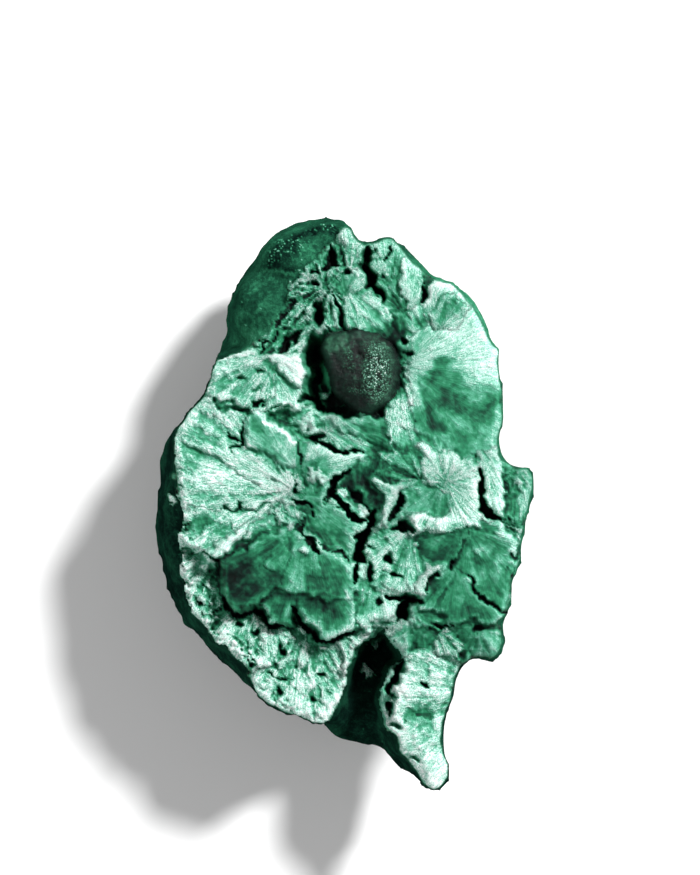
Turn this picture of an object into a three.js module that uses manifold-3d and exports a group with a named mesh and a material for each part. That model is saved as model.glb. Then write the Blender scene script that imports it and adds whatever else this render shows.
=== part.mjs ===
// A hand-held fragment of fibrous malachite, lying on its back.
//
// The mass behind is botryoidal: overlapping kidney-shaped lobes with a smooth dark skin. The
// upper side is a fresh break through that mass. It shows many tilted plates, each one a slice
// of a fan of silky fibres, with gaps between them. A round dark nodule sits in a hollow near
// the top, and a prong like a short stalactite leaves the lower edge. It all grew as one stone,
// so it is one solid.
//
// Millimetres. +Z points up out of the break, +Y runs along the stone towards its thick end,
// and the origin is in the middle of the footprint, on the flat that the stone rests on.

import * as THREE from "three";
import { mergeVertices } from "three/addons/utils/BufferGeometryUtils.js";
import Module from "manifold-3d";

// ---- Driving dimensions ----------------------------------------------------------------

const LENGTH = 43.6; // along Y, prong included
const WIDTH = 28.9; // along X
const THICKNESS = 18.4; // along Z
const BREAK = 12.6; // height of the broken surface from which the plates stand up
const ROOT = 6; // height down to which each plate is carried into the mass
const ROOT_TAPER = 0.87; // how far the plates' roots are drawn in towards the stone's middle
const LOBE_DETAIL = 2; // subdivision of a lobe 5 mm in radius
const SMALLEST_STEP = 0.06; // steps in the skin smaller than this are smoothed away
const NODULE = { at: [1.85, 9.75, 14.4], radius: 3.15 };
const HOLLOW = { at: [0.9, 9.4, 16.0], radii: [4.3, 3.9, 4.0] };

// ---- Lobes of the dark skin: centre, then half-widths along X, Y and Z ------------------

const LOBES = [
  // thick end
  [-2.9, 16.9, 9.2, 4.7, 4.7, 7.0],
  [-1.1, 19.8, 10.6, 2.1, 2.1, 4.6],
  [-4.6, 14.3, 9.0, 4.6, 4.6, 7.0],
  [-5.2, 9.6, 9.4, 5.0, 4.6, 6.6],
  [-2.2, 13.6, 4.2, 4.2, 4.6, 5.0],
  [3.3, 16.3, 10.0, 3.3, 3.7, 5.6],
  // left flank
  [-8.7, 2.9, 9.4, 5.5, 5.0, 6.4],
  [-8.6, -2.2, 9.0, 5.85, 5.0, 6.4],
  [-7.2, -6.6, 8.4, 5.9, 5.0, 6.2],
  [-3.9, -11.0, 8.0, 4.7, 5.0, 5.8],
  [-7.2, 5.6, 4.0, 4.6, 4.4, 4.6],
  [-7.4, -0.6, 3.6, 4.8, 4.2, 4.4],
  [-5.4, -6.8, 3.6, 4.8, 4.2, 4.2],
  // lowest lobe, seen at the bottom of the deep gap
  [1.4, -13.6, 5.4, 4.5, 5.6, 4.8],
  [-0.4, -9.4, 4.0, 4.6, 4.4, 4.8],
  // middle
  [-0.6, -2.0, 6.2, 8.2, 7.4, 7.4],
  [0.8, 6.8, 6.0, 7.4, 7.8, 7.2],
  // right flank
  [6.1, 12.4, 10.0, 4.9, 4.5, 6.4],
  [7.2, 7.8, 9.6, 4.7, 5.0, 6.4],
  [7.7, 1.9, 9.6, 4.8, 4.8, 6.6],
  [8.2, -3.3, 9.6, 5.2, 4.5, 6.4],
  [7.9, -7.9, 9.8, 4.3, 3.7, 5.4],
  [5.0, 10.0, 4.4, 4.4, 4.6, 5.0],
  [6.4, 4.6, 3.8, 4.6, 4.0, 4.4],
  [6.8, -1.4, 3.8, 4.8, 4.2, 4.4],
  [5.4, -6.6, 4.4, 4.6, 3.8, 4.6],
  // ear, nub
  [12.2, 0.9, 11.0, 2.1, 1.9, 3.2],
  [10.6, -10.2, 11.0, 1.65, 1.75, 3.0],
];

// The prong: centres and radii from its root to its blunt tip.
const PRONG = [
  [6.6, -10.4, 9.0, 2.5],
  [6.3, -13.2, 9.2, 2.35],
  [5.6, -15.8, 9.0, 2.3],
  [5.7, -18.0, 8.8, 2.05],
  [6.35, -19.95, 8.8, 1.75],
];

// ---- Plates of the break ---------------------------------------------------------------
// up: height of the plate's middle above BREAK.
// slope: rise per millimetre along +X and +Y.

const PLATES = [
  // shelf and splinters beside the nodule, thick end
  {
    up: 3.4, slope: [-0.05, -0.1],
    outline: [
      [-0.2, 13.1], [2.8, 13.1], [3.6, 14.2], [3.5, 15.1], [2.0, 15.8], [0.2, 15.4],
    ],
  },
  {
    up: 3.2, slope: [0.05, 0.12],
    outline: [
      [0.2, 15.3], [2.1, 15.7], [1.4, 17.2], [-1.0, 17.5], [-0.9, 16.2],
    ],
  },
  {
    up: 3.7, slope: [0.12, 0.1],
    outline: [
      [-5.7, 11.6], [-4.6, 11.9], [-1.4, 15.7], [-1.9, 16.8], [-3.6, 16.9], [-4.6, 14.2],
    ],
  },
  {
    up: 3.1, slope: [0.1, 0.2],
    outline: [
      [-4.8, 11.3], [-3.0, 11.3], [-1.5, 12.9], [-1.4, 13.6], [-3.0, 13.0],
    ],
  },
  {
    up: 3.5, slope: [-0.1, 0.1],
    outline: [
      [-1.4, 13.8], [-0.3, 13.5], [-0.1, 15.0], [-0.8, 16.3], [-1.5, 15.2],
    ],
  },
  // blades at the right of the thick end
  {
    up: 2.6, slope: [-0.1, -0.15],
    outline: [
      [2.6, 18.2], [2.8, 19.9], [3.8, 20.0], [4.9, 18.6], [4.4, 17.2], [3.4, 16.9],
    ],
  },
  {
    up: 3.2, slope: [-0.3, -0.1],
    outline: [
      [4.2, 16.9], [4.9, 18.4], [6.3, 17.0], [6.0, 15.7], [5.3, 14.8], [4.6, 15.2],
    ],
  },
  {
    up: 2.7, slope: [0.3, 0.1],
    outline: [
      [3.4, 15.6], [4.0, 14.8], [4.8, 14.4], [4.6, 15.5], [4.0, 17.0], [3.3, 16.7],
    ],
  },
  {
    up: 3.4, slope: [0.2, 0.1],
    outline: [
      [3.5, 13.3], [3.9, 12.6], [4.5, 13.3], [4.3, 14.3], [3.7, 14.2],
    ],
  },
  // broad silky plate of the right side: rim, bowl and skirt
  {
    up: 2.6, slope: [0.05, -0.1],
    outline: [
      [6.1, 14.9], [7.0, 16.9], [8.3, 16.5], [9.6, 14.9], [8.8, 14.0], [6.6, 14.0],
    ],
  },
  {
    up: 3.6, slope: [0.03, -0.02],
    outline: [
      [5.0, 14.4], [5.7, 12.6], [8.4, 13.3], [9.3, 15.0], [7.9, 16.0], [6.8, 15.5],
    ],
  },
  {
    up: 3.6, slope: [-0.14, -0.1],
    outline: [
      [8.3, 13.2], [8.3, 11.3], [9.8, 9.6], [11.7, 9.2], [11.7, 11.8], [10.4, 13.7], [9.1, 15.2],
    ],
  },
  {
    up: 3.7, slope: [-0.16, 0.0],
    outline: [
      [5.4, 12.8], [4.9, 10.4], [6.4, 9.0], [8.6, 10.8], [8.4, 13.4],
    ],
  },
  {
    up: 2.9, slope: [0.09, 0.08],
    outline: [
      [6.2, 9.6], [4.6, 6.2], [6.4, 4.4], [9.6, 3.6], [11.6, 4.6], [11.9, 9.4], [9.8, 10.0],
      [8.6, 11.0],
    ],
  },
  {
    up: 3.3, slope: [-0.2, -0.05],
    outline: [
      [4.4, 9.4], [3.5, 6.8], [3.5, 4.6], [4.8, 4.0], [5.6, 6.0], [6.6, 9.4], [5.4, 11.2],
    ],
  },
  // lens-shaped plates below the nodule
  {
    up: 3.2, slope: [0.05, 0.3],
    outline: [
      [-0.8, 6.1], [0.2, 5.5], [2.2, 4.6], [3.5, 3.9], [3.2, 5.2], [2.3, 6.2], [0.8, 6.7],
    ],
  },
  {
    up: 2.9, slope: [-0.1, -0.15],
    outline: [
      [-1.9, 4.8], [0.6, 4.1], [2.4, 3.9], [2.2, 4.6], [0.2, 5.6], [-1.2, 5.9],
    ],
  },
  {
    up: 2.4, slope: [0.2, 0.1],
    outline: [
      [-5.6, 6.2], [-3.6, 4.9], [-2.4, 5.0], [-1.7, 6.3], [-2.9, 7.0], [-4.2, 7.1],
    ],
  },
  // ledge left of the nodule
  {
    up: 3.9, slope: [-0.06, -0.08],
    outline: [
      [-10.2, 9.4], [-9.9, 7.8], [-8.8, 7.0], [-7.1, 7.0], [-5.0, 7.6], [-3.0, 8.4], [-2.8, 9.9],
      [-3.5, 11.1], [-6.4, 11.3], [-8.8, 11.0],
    ],
  },
  // great fan of the left side
  {
    up: 2.9, slope: [-0.08, -0.04],
    outline: [
      [-10.8, 7.6], [-12.3, 6.0], [-13.0, 4.4], [-12.7, 2.0], [-3.8, 1.4], [-3.8, 3.0], [-7.2, 4.4],
      [-7.6, 6.6],
    ],
  },
  {
    up: 3.0, slope: [-0.1, -0.08],
    outline: [
      [-12.7, 2.2], [-12.3, 0.0], [-12.0, -2.8], [-10.2, -3.4], [-3.6, 0.6], [-3.8, 1.8],
    ],
  },
  {
    up: 3.5, slope: [0.0, 0.08],
    outline: [
      [-7.4, 4.3], [-5.0, 3.0], [-3.3, 2.8], [-3.6, 4.8], [-5.6, 6.1], [-6.8, 6.9], [-7.6, 6.4],
    ],
  },
  {
    up: 3.7, slope: [-0.1, -0.35],
    outline: [
      [-9.9, -3.7], [-8.9, -3.7], [-4.4, -0.5], [-3.4, 0.4], [-4.2, 0.6], [-7.0, -0.7],
    ],
  },
  {
    up: 3.2, slope: [0.05, 0.35],
    outline: [
      [-9.5, -3.6], [-6.4, -3.6], [-4.8, -2.0], [-3.4, 0.1], [-4.6, -0.4],
    ],
  },
  // dark plates with scalloped lower edges
  {
    up: 4.1, slope: [0.1, 0.06],
    outline: [
      [-8.9, -4.2], [-8.5, -6.2], [-7.2, -7.4], [-5.6, -6.9], [-3.0, -7.0], [0.2, -7.0], [0.8, -5.4],
      [-1.0, -4.1], [-2.9, -3.0], [-4.0, -2.2], [-5.6, -2.5], [-7.3, -3.8],
    ],
  },
  {
    up: 3.4, slope: [0.12, 0.12],
    outline: [
      [-6.1, -7.1], [-5.5, -8.8], [-4.9, -9.0], [-3.8, -8.3], [-3.2, -6.8], [-4.6, -6.2],
    ],
  },
  {
    up: 3.6, slope: [0.1, 0.14],
    outline: [
      [-3.2, -6.8], [-2.9, -8.4], [-2.0, -9.5], [-0.6, -9.7], [0.4, -8.7], [0.3, -6.7],
    ],
  },
  {
    up: 3.0, slope: [0.3, 0.2],
    outline: [
      [-3.2, -0.2], [-2.9, -1.8], [-2.2, -3.1], [-0.8, -3.4], [0.6, -4.1], [1.2, -3.3], [1.35, -2.3],
      [1.0, -1.0], [-0.6, 0.2], [-2.6, 1.1],
    ],
  },
  // porous rim round the lower left
  {
    up: 1.7, slope: [-0.25, -0.2],
    outline: [
      [-12.2, -2.8], [-12.3, -5.2], [-11.5, -7.6], [-10.4, -9.2], [-8.6, -8.0], [-8.6, -4.6],
      [-10.0, -3.2],
    ],
  },
  {
    up: 1.4, slope: [-0.15, -0.2],
    outline: [
      [-10.5, -9.0], [-8.6, -10.9], [-6.9, -12.5], [-4.0, -11.4], [-3.0, -9.0], [-7.0, -7.0],
      [-9.0, -7.0],
    ],
  },
  {
    up: 0.9, slope: [-0.1, -0.12],
    outline: [
      [-7.0, -12.4], [-6.1, -14.7], [-4.6, -15.6], [-2.8, -16.1], [-1.8, -16.7], [-1.1, -15.7],
      [0.1, -14.1], [0.4, -11.8], [-0.4, -10.0], [-4.4, -9.6],
    ],
  },
  {
    up: 1.6, slope: [-0.2, -0.2],
    outline: [
      [-0.6, -10.2], [0.6, -11.4], [1.5, -10.3], [3.0, -9.2], [1.6, -8.8], [0.0, -9.6],
    ],
  },
  // middle
  {
    up: 3.1, slope: [0.0, 0.12],
    outline: [
      [-2.6, 4.1], [-3.2, 2.6], [-2.7, 1.0], [-0.9, 0.4], [-0.7, 1.6], [0.3, 2.5], [1.9, 3.7],
      [0.4, 4.0],
    ],
  },
  {
    up: 3.4, slope: [0.35, 0.1],
    outline: [
      [0.4, 2.4], [0.9, 0.8], [1.9, -0.6], [2.8, -1.0], [3.2, 0.2], [3.5, 1.8], [3.4, 3.8], [1.8, 3.4],
    ],
  },
  {
    up: 3.9, slope: [-0.2, 0.0],
    outline: [
      [3.0, 0.0], [3.2, -1.2], [3.6, -0.9], [4.4, 0.9], [6.4, 1.2], [6.0, 3.0], [4.6, 3.8], [3.2, 3.6],
    ],
  },
  {
    up: 3.4, slope: [0.1, 0.15],
    outline: [
      [4.3, 0.7], [4.3, -0.8], [5.0, -1.5], [8.3, -0.8], [8.2, 0.2], [7.3, 1.3],
    ],
  },
  {
    up: 3.7, slope: [-0.12, -0.12],
    outline: [
      [7.3, 1.3], [8.2, 0.2], [8.2, -0.8], [5.2, -1.2], [5.0, -1.9], [8.4, -2.1], [9.8, -1.5],
      [10.3, -0.4], [10.4, 1.2], [9.8, 2.6], [8.4, 3.4], [6.2, 3.8], [6.2, 2.4],
    ],
  },
  // strip and ear at the right edge
  {
    up: 3.2, slope: [-0.25, -0.05],
    outline: [
      [10.7, 0.2], [11.0, -1.1], [11.8, -1.0], [12.1, 1.2], [12.1, 2.8], [11.6, 4.4], [10.0, 4.0],
      [10.7, 1.8],
    ],
  },
  {
    up: 2.3, slope: [0.25, 0.0],
    outline: [
      [11.9, 0.6], [12.0, -0.8], [13.3, -1.1], [13.3, 1.0], [13.0, 2.7], [12.2, 2.7],
    ],
  },
  {
    up: 2.2, slope: [-0.3, 0.0],
    outline: [
      [13.2, 0.8], [13.3, -1.0], [13.8, -0.7], [14.25, 0.9], [14.2, 2.3], [13.8, 2.8], [12.9, 2.7],
    ],
  },
  // lower right
  {
    up: 3.2, slope: [0.15, 0.15],
    outline: [
      [5.1, -2.9], [6.0, -4.0], [6.8, -4.7], [7.7, -4.9], [8.6, -4.1], [9.5, -1.9], [5.2, -2.0],
    ],
  },
  {
    up: 3.0, slope: [0.04, 0.1],
    outline: [
      [9.6, -2.0], [8.6, -4.2], [9.2, -5.3], [10.5, -6.2], [11.6, -6.6], [12.6, -5.8], [12.9, -4.0],
      [12.8, -2.2], [11.4, -1.8],
    ],
  },
  {
    up: 2.3, slope: [-0.2, 0.0],
    outline: [
      [12.6, -2.2], [12.7, -4.2], [12.6, -6.0], [13.1, -5.2], [13.4, -4.2], [13.5, -2.4], [13.6, -1.2],
      [11.8, -1.4], [11.4, -1.9],
    ],
  },
  {
    up: 3.1, slope: [0.1, 0.06],
    outline: [
      [7.5, -5.2], [6.4, -6.3], [5.6, -7.2], [5.7, -8.0], [7.4, -7.9], [8.3, -9.0], [9.6, -8.7],
      [10.8, -8.8], [11.9, -8.3], [10.9, -7.2], [9.5, -5.8], [8.5, -4.7],
    ],
  },
  {
    up: 2.5, slope: [0.0, 0.0],
    outline: [
      [11.3, -7.0], [12.0, -8.1], [12.4, -8.2], [12.7, -7.2], [12.7, -6.1], [11.7, -6.6],
    ],
  },
  {
    up: 2.6, slope: [0.1, -0.1],
    outline: [
      [5.0, -8.3], [5.6, -7.9], [7.3, -8.2], [8.2, -9.3], [7.6, -10.4], [5.9, -10.2], [4.9, -9.2],
    ],
  },
  {
    up: 2.2, slope: [0.2, 0.1],
    outline: [
      [3.1, -9.3], [3.6, -8.7], [4.9, -9.0], [6.0, -10.0], [5.8, -11.0], [4.8, -11.2], [3.8, -10.4],
    ],
  },
  {
    up: 2.1, slope: [0.0, 0.2],
    outline: [
      [9.3, -9.1], [9.2, -10.3], [10.1, -11.3], [11.3, -11.6], [11.9, -10.4], [11.7, -9.0],
      [10.6, -8.7],
    ],
  },
  // pitted chunk right of the middle gap
  {
    up: 3.2, slope: [0.05, -0.02],
    outline: [
      [2.1, -3.4], [2.6, -1.9], [3.4, -1.4], [4.8, -1.8], [5.2, -3.2], [6.6, -4.8], [5.6, -6.7],
      [3.4, -6.4], [1.7, -5.8],
    ],
  },
  {
    up: 2.9, slope: [-0.1, -0.1],
    outline: [
      [1.7, -5.6], [3.4, -6.3], [4.2, -7.2], [3.4, -8.3], [1.6, -9.2], [0.5, -8.6], [0.3, -6.9],
    ],
  },
  {
    up: 3.8, slope: [-0.3, 0.1],
    outline: [
      [5.4, -6.2], [6.3, -4.8], [7.1, -5.0], [6.0, -6.7],
    ],
  },
  // pale top of the prong, and the small plate on its flank
  {
    up: 1.4, slope: [-0.14, -0.02],
    outline: [
      [5.9, -10.8], [7.4, -11.2], [8.2, -12.6], [8.3, -14.6], [7.4, -16.4], [7.3, -18.6], [5.0, -18.6],
      [3.7, -17.2], [3.8, -15.2], [4.4, -13.2], [5.1, -11.4],
    ],
  },
  {
    up: 0.3, slope: [0.1, 0.1],
    outline: [
      [2.8, -15.6], [2.6, -14.6], [3.0, -13.2], [3.7, -12.6], [4.2, -13.4], [3.8, -14.6], [3.3, -15.8],
    ],
  },
];

// ---- Making the shapes -----------------------------------------------------------------

const wasm = await Module();
wasm.setup();

/** A closed three.js geometry as a solid that can be joined and cut. */
function solid(geometry) {
  geometry.deleteAttribute("normal");
  geometry.deleteAttribute("uv");
  const merged = mergeVertices(geometry, 1e-4);
  return new wasm.Manifold(
    new wasm.Mesh({
      numProp: 3,
      vertProperties: merged.getAttribute("position").array,
      triVerts: new Uint32Array(merged.index.array),
    }),
  );
}

/** One kidney-shaped lobe. */
function lobe([x, y, z, halfX, halfY, halfZ]) {
  const detail = Math.max(2, Math.round((LOBE_DETAIL * Math.max(halfX, halfY)) / 5));
  const geometry = new THREE.IcosahedronGeometry(1, detail);
  return solid(geometry.scale(halfX, halfY, halfZ).translate(x, y, z));
}

/** A plate: its outline carried down to ROOT, with its top face on a tilted plane. */
function plate({ up, slope: [slopeX, slopeY], outline }) {
  const points = outline.map(([x, y]) => new THREE.Vector2(x, y));
  const middle = new THREE.Vector2();
  points.forEach((p) => middle.addScaledVector(p, 1 / points.length));
  const geometry = new THREE.ExtrudeGeometry(new THREE.Shape(points), { depth: 1, bevelEnabled: false });
  const at = geometry.getAttribute("position");
  for (let i = 0; i < at.count; i++) {
    const rise = slopeX * (at.getX(i) - middle.x) + slopeY * (at.getY(i) - middle.y);
    const onTop = at.getZ(i) > 0.5;
    const draw = onTop ? 1 : ROOT_TAPER;
    at.setXYZ(i, at.getX(i) * draw, at.getY(i) * draw, onTop ? BREAK + up + rise : ROOT);
  }
  return solid(geometry);
}

/** Round stations joined two by two, each pair by the hull of its two spheres. */
function chain(stations) {
  const balls = stations.map(([x, y, z, r]) => lobe([x, y, z, r, r, r * 1.45]));
  const links = balls.slice(1).map((ball, i) => wasm.Manifold.hull([balls[i], ball]));
  return links.reduce((whole, link) => whole.add(link));
}

/** Everything below the resting plane. */
function below() {
  return solid(new THREE.BoxGeometry(100, 100, 100).translate(0, 0, -50));
}

const skin = LOBES.map(lobe).reduce((whole, next) => whole.add(next));
const broken = PLATES.map(plate).reduce((whole, next) => whole.add(next), skin);
const hollowed = broken.subtract(lobe([...HOLLOW.at, ...HOLLOW.radii]));
const nodule = lobe([...NODULE.at, NODULE.radius, NODULE.radius, NODULE.radius]);
const rough = hollowed.add(nodule).add(chain(PRONG)).subtract(below()).simplify(SMALLEST_STEP);

// Pockets sealed between the lobes are filled, by keeping only the outer skin.
const byVolume = rough.decompose().sort((a, b) => b.volume() - a.volume());
const stone = byVolume[0];

/** The finished solid as a three.js geometry, at its real size and centred over the origin. */
function geometryOf(whole) {
  const { numProp, vertProperties, triVerts } = whole.getMesh();
  const position = new Float32Array((vertProperties.length / numProp) * 3);
  for (let i = 0; i < position.length / 3; i++) {
    position.set(vertProperties.subarray(i * numProp, i * numProp + 3), i * 3);
  }
  const geometry = new THREE.BufferGeometry();
  geometry.setAttribute("position", new THREE.BufferAttribute(position, 3));
  geometry.setIndex(new THREE.BufferAttribute(triVerts, 1));
  geometry.computeBoundingBox();
  const { min, max } = geometry.boundingBox;
  geometry.translate(-(min.x + max.x) / 2, -(min.y + max.y) / 2, -min.z);
  return geometry.scale(WIDTH / (max.x - min.x), LENGTH / (max.y - min.y), THICKNESS / (max.z - min.z));
}

const malachite = new THREE.Mesh(
  geometryOf(stone),
  new THREE.MeshStandardMaterial({ color: 0x2f8f66, roughness: 0.6, metalness: 0 }),
);
malachite.name = "malachite";

export default new THREE.Group().add(malachite);
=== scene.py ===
# %% [markdown]
# # A malachite specimen
#
# The object is a fragment of fibrous malachite about as long as a thumb. Its back is a bunch of
# kidney-shaped lobes with a smooth dark skin, which mineral collectors call botryoidal. Its
# upper side is a fresh break through those lobes. Malachite grows as fans of silky fibres, so
# the break falls into tilted plates, and each plate shows fibres that run out from the point
# where its fan began to grow.
#
# The stone grew as one mass, so it is made as one closed mesh. The plain solid from the frame
# gives its back and sides, and the break is sculpted on top of it.

import bmesh
import bpy
import numpy as np
from mathutils import Matrix, Vector


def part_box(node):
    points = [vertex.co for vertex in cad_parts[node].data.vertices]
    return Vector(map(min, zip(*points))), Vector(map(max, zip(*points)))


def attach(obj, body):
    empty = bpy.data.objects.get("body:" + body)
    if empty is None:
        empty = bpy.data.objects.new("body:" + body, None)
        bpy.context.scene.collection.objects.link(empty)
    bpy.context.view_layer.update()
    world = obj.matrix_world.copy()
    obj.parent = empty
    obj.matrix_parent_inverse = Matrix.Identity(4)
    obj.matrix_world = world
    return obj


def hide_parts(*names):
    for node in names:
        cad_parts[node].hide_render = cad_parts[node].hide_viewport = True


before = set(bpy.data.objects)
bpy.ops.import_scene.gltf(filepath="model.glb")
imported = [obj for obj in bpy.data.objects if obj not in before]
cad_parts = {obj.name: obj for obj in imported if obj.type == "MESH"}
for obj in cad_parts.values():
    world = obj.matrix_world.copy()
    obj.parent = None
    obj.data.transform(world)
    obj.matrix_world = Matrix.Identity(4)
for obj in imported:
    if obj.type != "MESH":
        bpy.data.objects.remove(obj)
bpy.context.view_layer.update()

node_low, node_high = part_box("malachite")
print("the solid measures", [round(1000 * s, 1) for s in node_high - node_low], "mm")

# %% [markdown]
# ## Millimetres, measured from the middle of the stone
#
# A stone this small is easier to think about in millimetres. Everything is modelled in
# millimetres from the middle of the solid's footprint, and the finished mesh is scaled to
# metres at the end. The heights below follow the solid, so that the stone keeps its thickness.

# %% Heights that the sculpting uses
MM = 0.001
middle = (node_low + node_high) / 2
TOP = (node_high.z - node_low.z) / MM
SLAB = 0.62 * TOP  # height of the flat blank before it is carved
ANCHOR = 0.3 * TOP  # nothing below this height is stretched
LOWEST_CUT = ANCHOR + 1.5  # no crack goes deeper
HIGHEST = TOP - 0.05
print("flat blank at", round(SLAB, 1), "mm, nothing below", round(ANCHOR, 1), "mm is stretched")

# %% [markdown]
# ## Repeatable roughness
#
# A broken mineral is irregular at every scale. The irregularity here comes from gradient noise:
# each point of a lattice gets a random slope from a formula, and the slopes are blended smoothly
# in between. Blender's own noise would do as well, but plain formulas work on all points at
# once. The same seed always gives the same stone.


# %% Smooth noise, and several octaves of it
def lattice_value(ix, iy, seed):
    mixed = (ix.astype(np.int64) * 374761393 + iy.astype(np.int64) * 668265263 + seed * 9824537) & 0xFFFFFFFF
    mixed = ((mixed ^ (mixed >> 13)) * 1274126177) & 0xFFFFFFFF
    return ((mixed ^ (mixed >> 16)) & 0xFFFF) / 32767.5 - 1


def noise(x, y, size=1.0, seed=0):
    """A smooth random value from about -1 to 1 that changes over about the size."""
    x, y = x / size, y / size
    ix, iy = np.floor(x), np.floor(y)
    dx, dy = x - ix, y - iy
    sx, sy = dx * dx * (3 - 2 * dx), dy * dy * (3 - 2 * dy)
    total = np.zeros(x.shape)
    for kx in (0, 1):
        for ky in (0, 1):
            angle = np.pi * lattice_value(ix + kx, iy + ky, seed)
            slope = np.cos(angle) * (dx - kx) + np.sin(angle) * (dy - ky)
            total += slope * (sx if kx else 1 - sx) * (sy if ky else 1 - sy)
    return 1.7 * total


def rough(x, y, size=1.0, seed=0, octaves=4):
    """Noise with finer and weaker noise added to it, each octave turned against the last."""
    x, y = x / size, y / size
    total = np.zeros(x.shape)
    for k in range(octaves):
        x, y = 0.8 * x - 0.6 * y, 0.6 * x + 0.8 * y
        total += noise(x * 2**k, y * 2**k, seed=seed + k) * 0.5**k
    return total


def ramp(value, start, end):
    """0 at start, 1 at end, and a smooth rise between them."""
    t = np.clip((value - start) / (end - start), 0, 1)
    return t * t * (3 - 2 * t)


# %% Facets: cells that each have a number and a tilt of their own
def facets(u, v, seed):
    """Height of tilted cells about one unit wide, each cell's own number, and depth from its border."""
    iu, iv = np.floor(u), np.floor(v)
    nearest, next_nearest = np.full(u.shape, 9.0), np.full(u.shape, 9.0)
    number, tilted = np.zeros(u.shape), np.zeros(u.shape)
    for ku in (-1, 0, 1):
        for kv in (-1, 0, 1):
            cu, cv = iu + ku, iv + kv
            du = u - cu - 0.5 - 0.42 * lattice_value(cu, cv, seed)
            dv = v - cv - 0.5 - 0.42 * lattice_value(cu, cv, seed + 1)
            distance = np.hypot(du, dv)
            closer = distance < nearest
            next_nearest = np.where(closer, nearest, np.minimum(next_nearest, distance))
            nearest = np.where(closer, distance, nearest)
            own = lattice_value(cu, cv, seed + 2)
            tilt = du * lattice_value(cu, cv, seed + 3) + dv * lattice_value(cu, cv, seed + 4)
            number = np.where(closer, own, number)
            tilted = np.where(closer, 0.5 * own + tilt, tilted)
    return tilted, number, next_nearest - nearest


# %% [markdown]
# ## Distances on the break
#
# Plates, cracks and the stone's own outline are all drawn as lines from above. Two measures do
# the rest: how far a point lies inside a closed outline, and how far it lies from an open line.


# %% Distance to an open line, and depth inside a closed one
def nearest_on_line(x, y, line):
    """Distance to the line, and how far along it the nearest place is, from 0 to 1."""
    nearest, place, gone = np.full(x.shape, 1e9), np.zeros(x.shape), 0.0
    for (ax, ay), (bx, by) in zip(line[:-1], line[1:]):
        dx, dy = bx - ax, by - ay
        length = np.hypot(dx, dy) + 1e-9
        share = np.clip(((x - ax) * dx + (y - ay) * dy) / length**2, 0, 1)
        distance = np.hypot(x - ax - share * dx, y - ay - share * dy)
        place = np.where(distance < nearest, gone + share * length, place)
        nearest = np.minimum(nearest, distance)
        gone += length
    return nearest, place / gone


def distance_to_line(x, y, line):
    return nearest_on_line(x, y, line)[0]


def depth_inside(x, y, outline):
    """Positive inside the outline and negative outside it."""
    ring = outline + outline[:1]
    inside = np.zeros(x.shape, bool)
    for (ax, ay), (bx, by) in zip(ring[:-1], ring[1:]):
        if ay != by:
            inside ^= ((ay > y) != (by > y)) & (x < (bx - ax) * (y - ay) / (by - ay) + ax)
    return np.where(inside, 1, -1) * distance_to_line(x, y, ring)


# %% [markdown]
# ## The stone's outline
#
# Seen from above, the stone has a ragged outline: scallops of the dark lobes at the thick end, a
# small ear at the right, a nub, and a prong at the narrow end. Its points follow the real
# corners, and the noise roughens what lies between them.

# %% Outline from above, clockwise from the thick end
OUTLINE = [
    (-0.6, 21.75), (0.1, 21.4), (0.6, 20.8), (0.95, 20.1), (1.4, 19.55), (2.4, 19.8), (3.1, 20.15),
    (3.9, 20.1),
    (4.9, 18.8), (6.4, 17.2), (8.2, 16.7), (9.0, 15.9), (9.8, 14.9), (10.4, 13.8), (11.2, 12.0),
    (11.8, 11.7), (11.7, 10.4), (12.0, 8.5), (12.1, 6.1), (11.65, 4.7), (11.8, 3.6), (12.3, 3.0),
    (13.1, 2.8), (14.0, 2.9), (14.35, 2.3), (14.4, 1.1), (13.8, -1.3), (13.4, -3.35), (13.5, -4.3),
    (12.7, -6.0), (12.7, -7.1), (12.4, -8.4), (11.9, -9.0), (12.2, -10.5), (11.8, -11.6),
    (11.3, -12.0), (10.5, -11.7), (9.8, -11.7), (9.0, -12.1), (8.5, -13.4), (8.1, -15.2),
    (7.6, -16.35), (7.5, -18.6), (7.9, -19.3), (8.1, -20.2), (7.95, -20.9), (7.5, -21.5),
    (6.8, -21.8), (6.0, -21.6), (5.2, -21.0), (4.3, -20.2), (3.45, -19.1), (1.8, -18.55), (0.7, -17.9),
    (-0.4, -17.1), (-1.8, -16.85), (-2.7, -16.4), (-4.6, -15.8), (-6.1, -15.1), (-7.2, -13.9),
    (-9.6, -12.0), (-12.1, -9.3), (-13.4, -7.3), (-13.9, -5.5), (-14.25, -3.9), (-14.45, -2.1),
    (-14.45, -0.2), (-14.0, 2.8), (-13.5, 4.1), (-12.4, 6.2), (-11.8, 7.0), (-10.7, 8.0),
    (-10.3, 9.0), (-9.6, 11.7), (-9.1, 12.8), (-9.2, 13.9), (-8.85, 15.3), (-8.3, 16.7),
    (-7.2, 17.9), (-6.1, 19.2), (-4.9, 20.4), (-3.5, 21.25), (-2.2, 21.7), (-1.4, 21.9),
]

# %% [markdown]
# ## The dark lobes
#
# Along the left flank and at the thick end the break stops short of the edge, and the smooth
# skin curves down and away. From above, each lobe is half an ellipsoid, so its height has a
# plain formula. The nodule stands in a hollow of its own. It has an outline, a rounded edge, and
# a few flat faces that cut its top.

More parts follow.
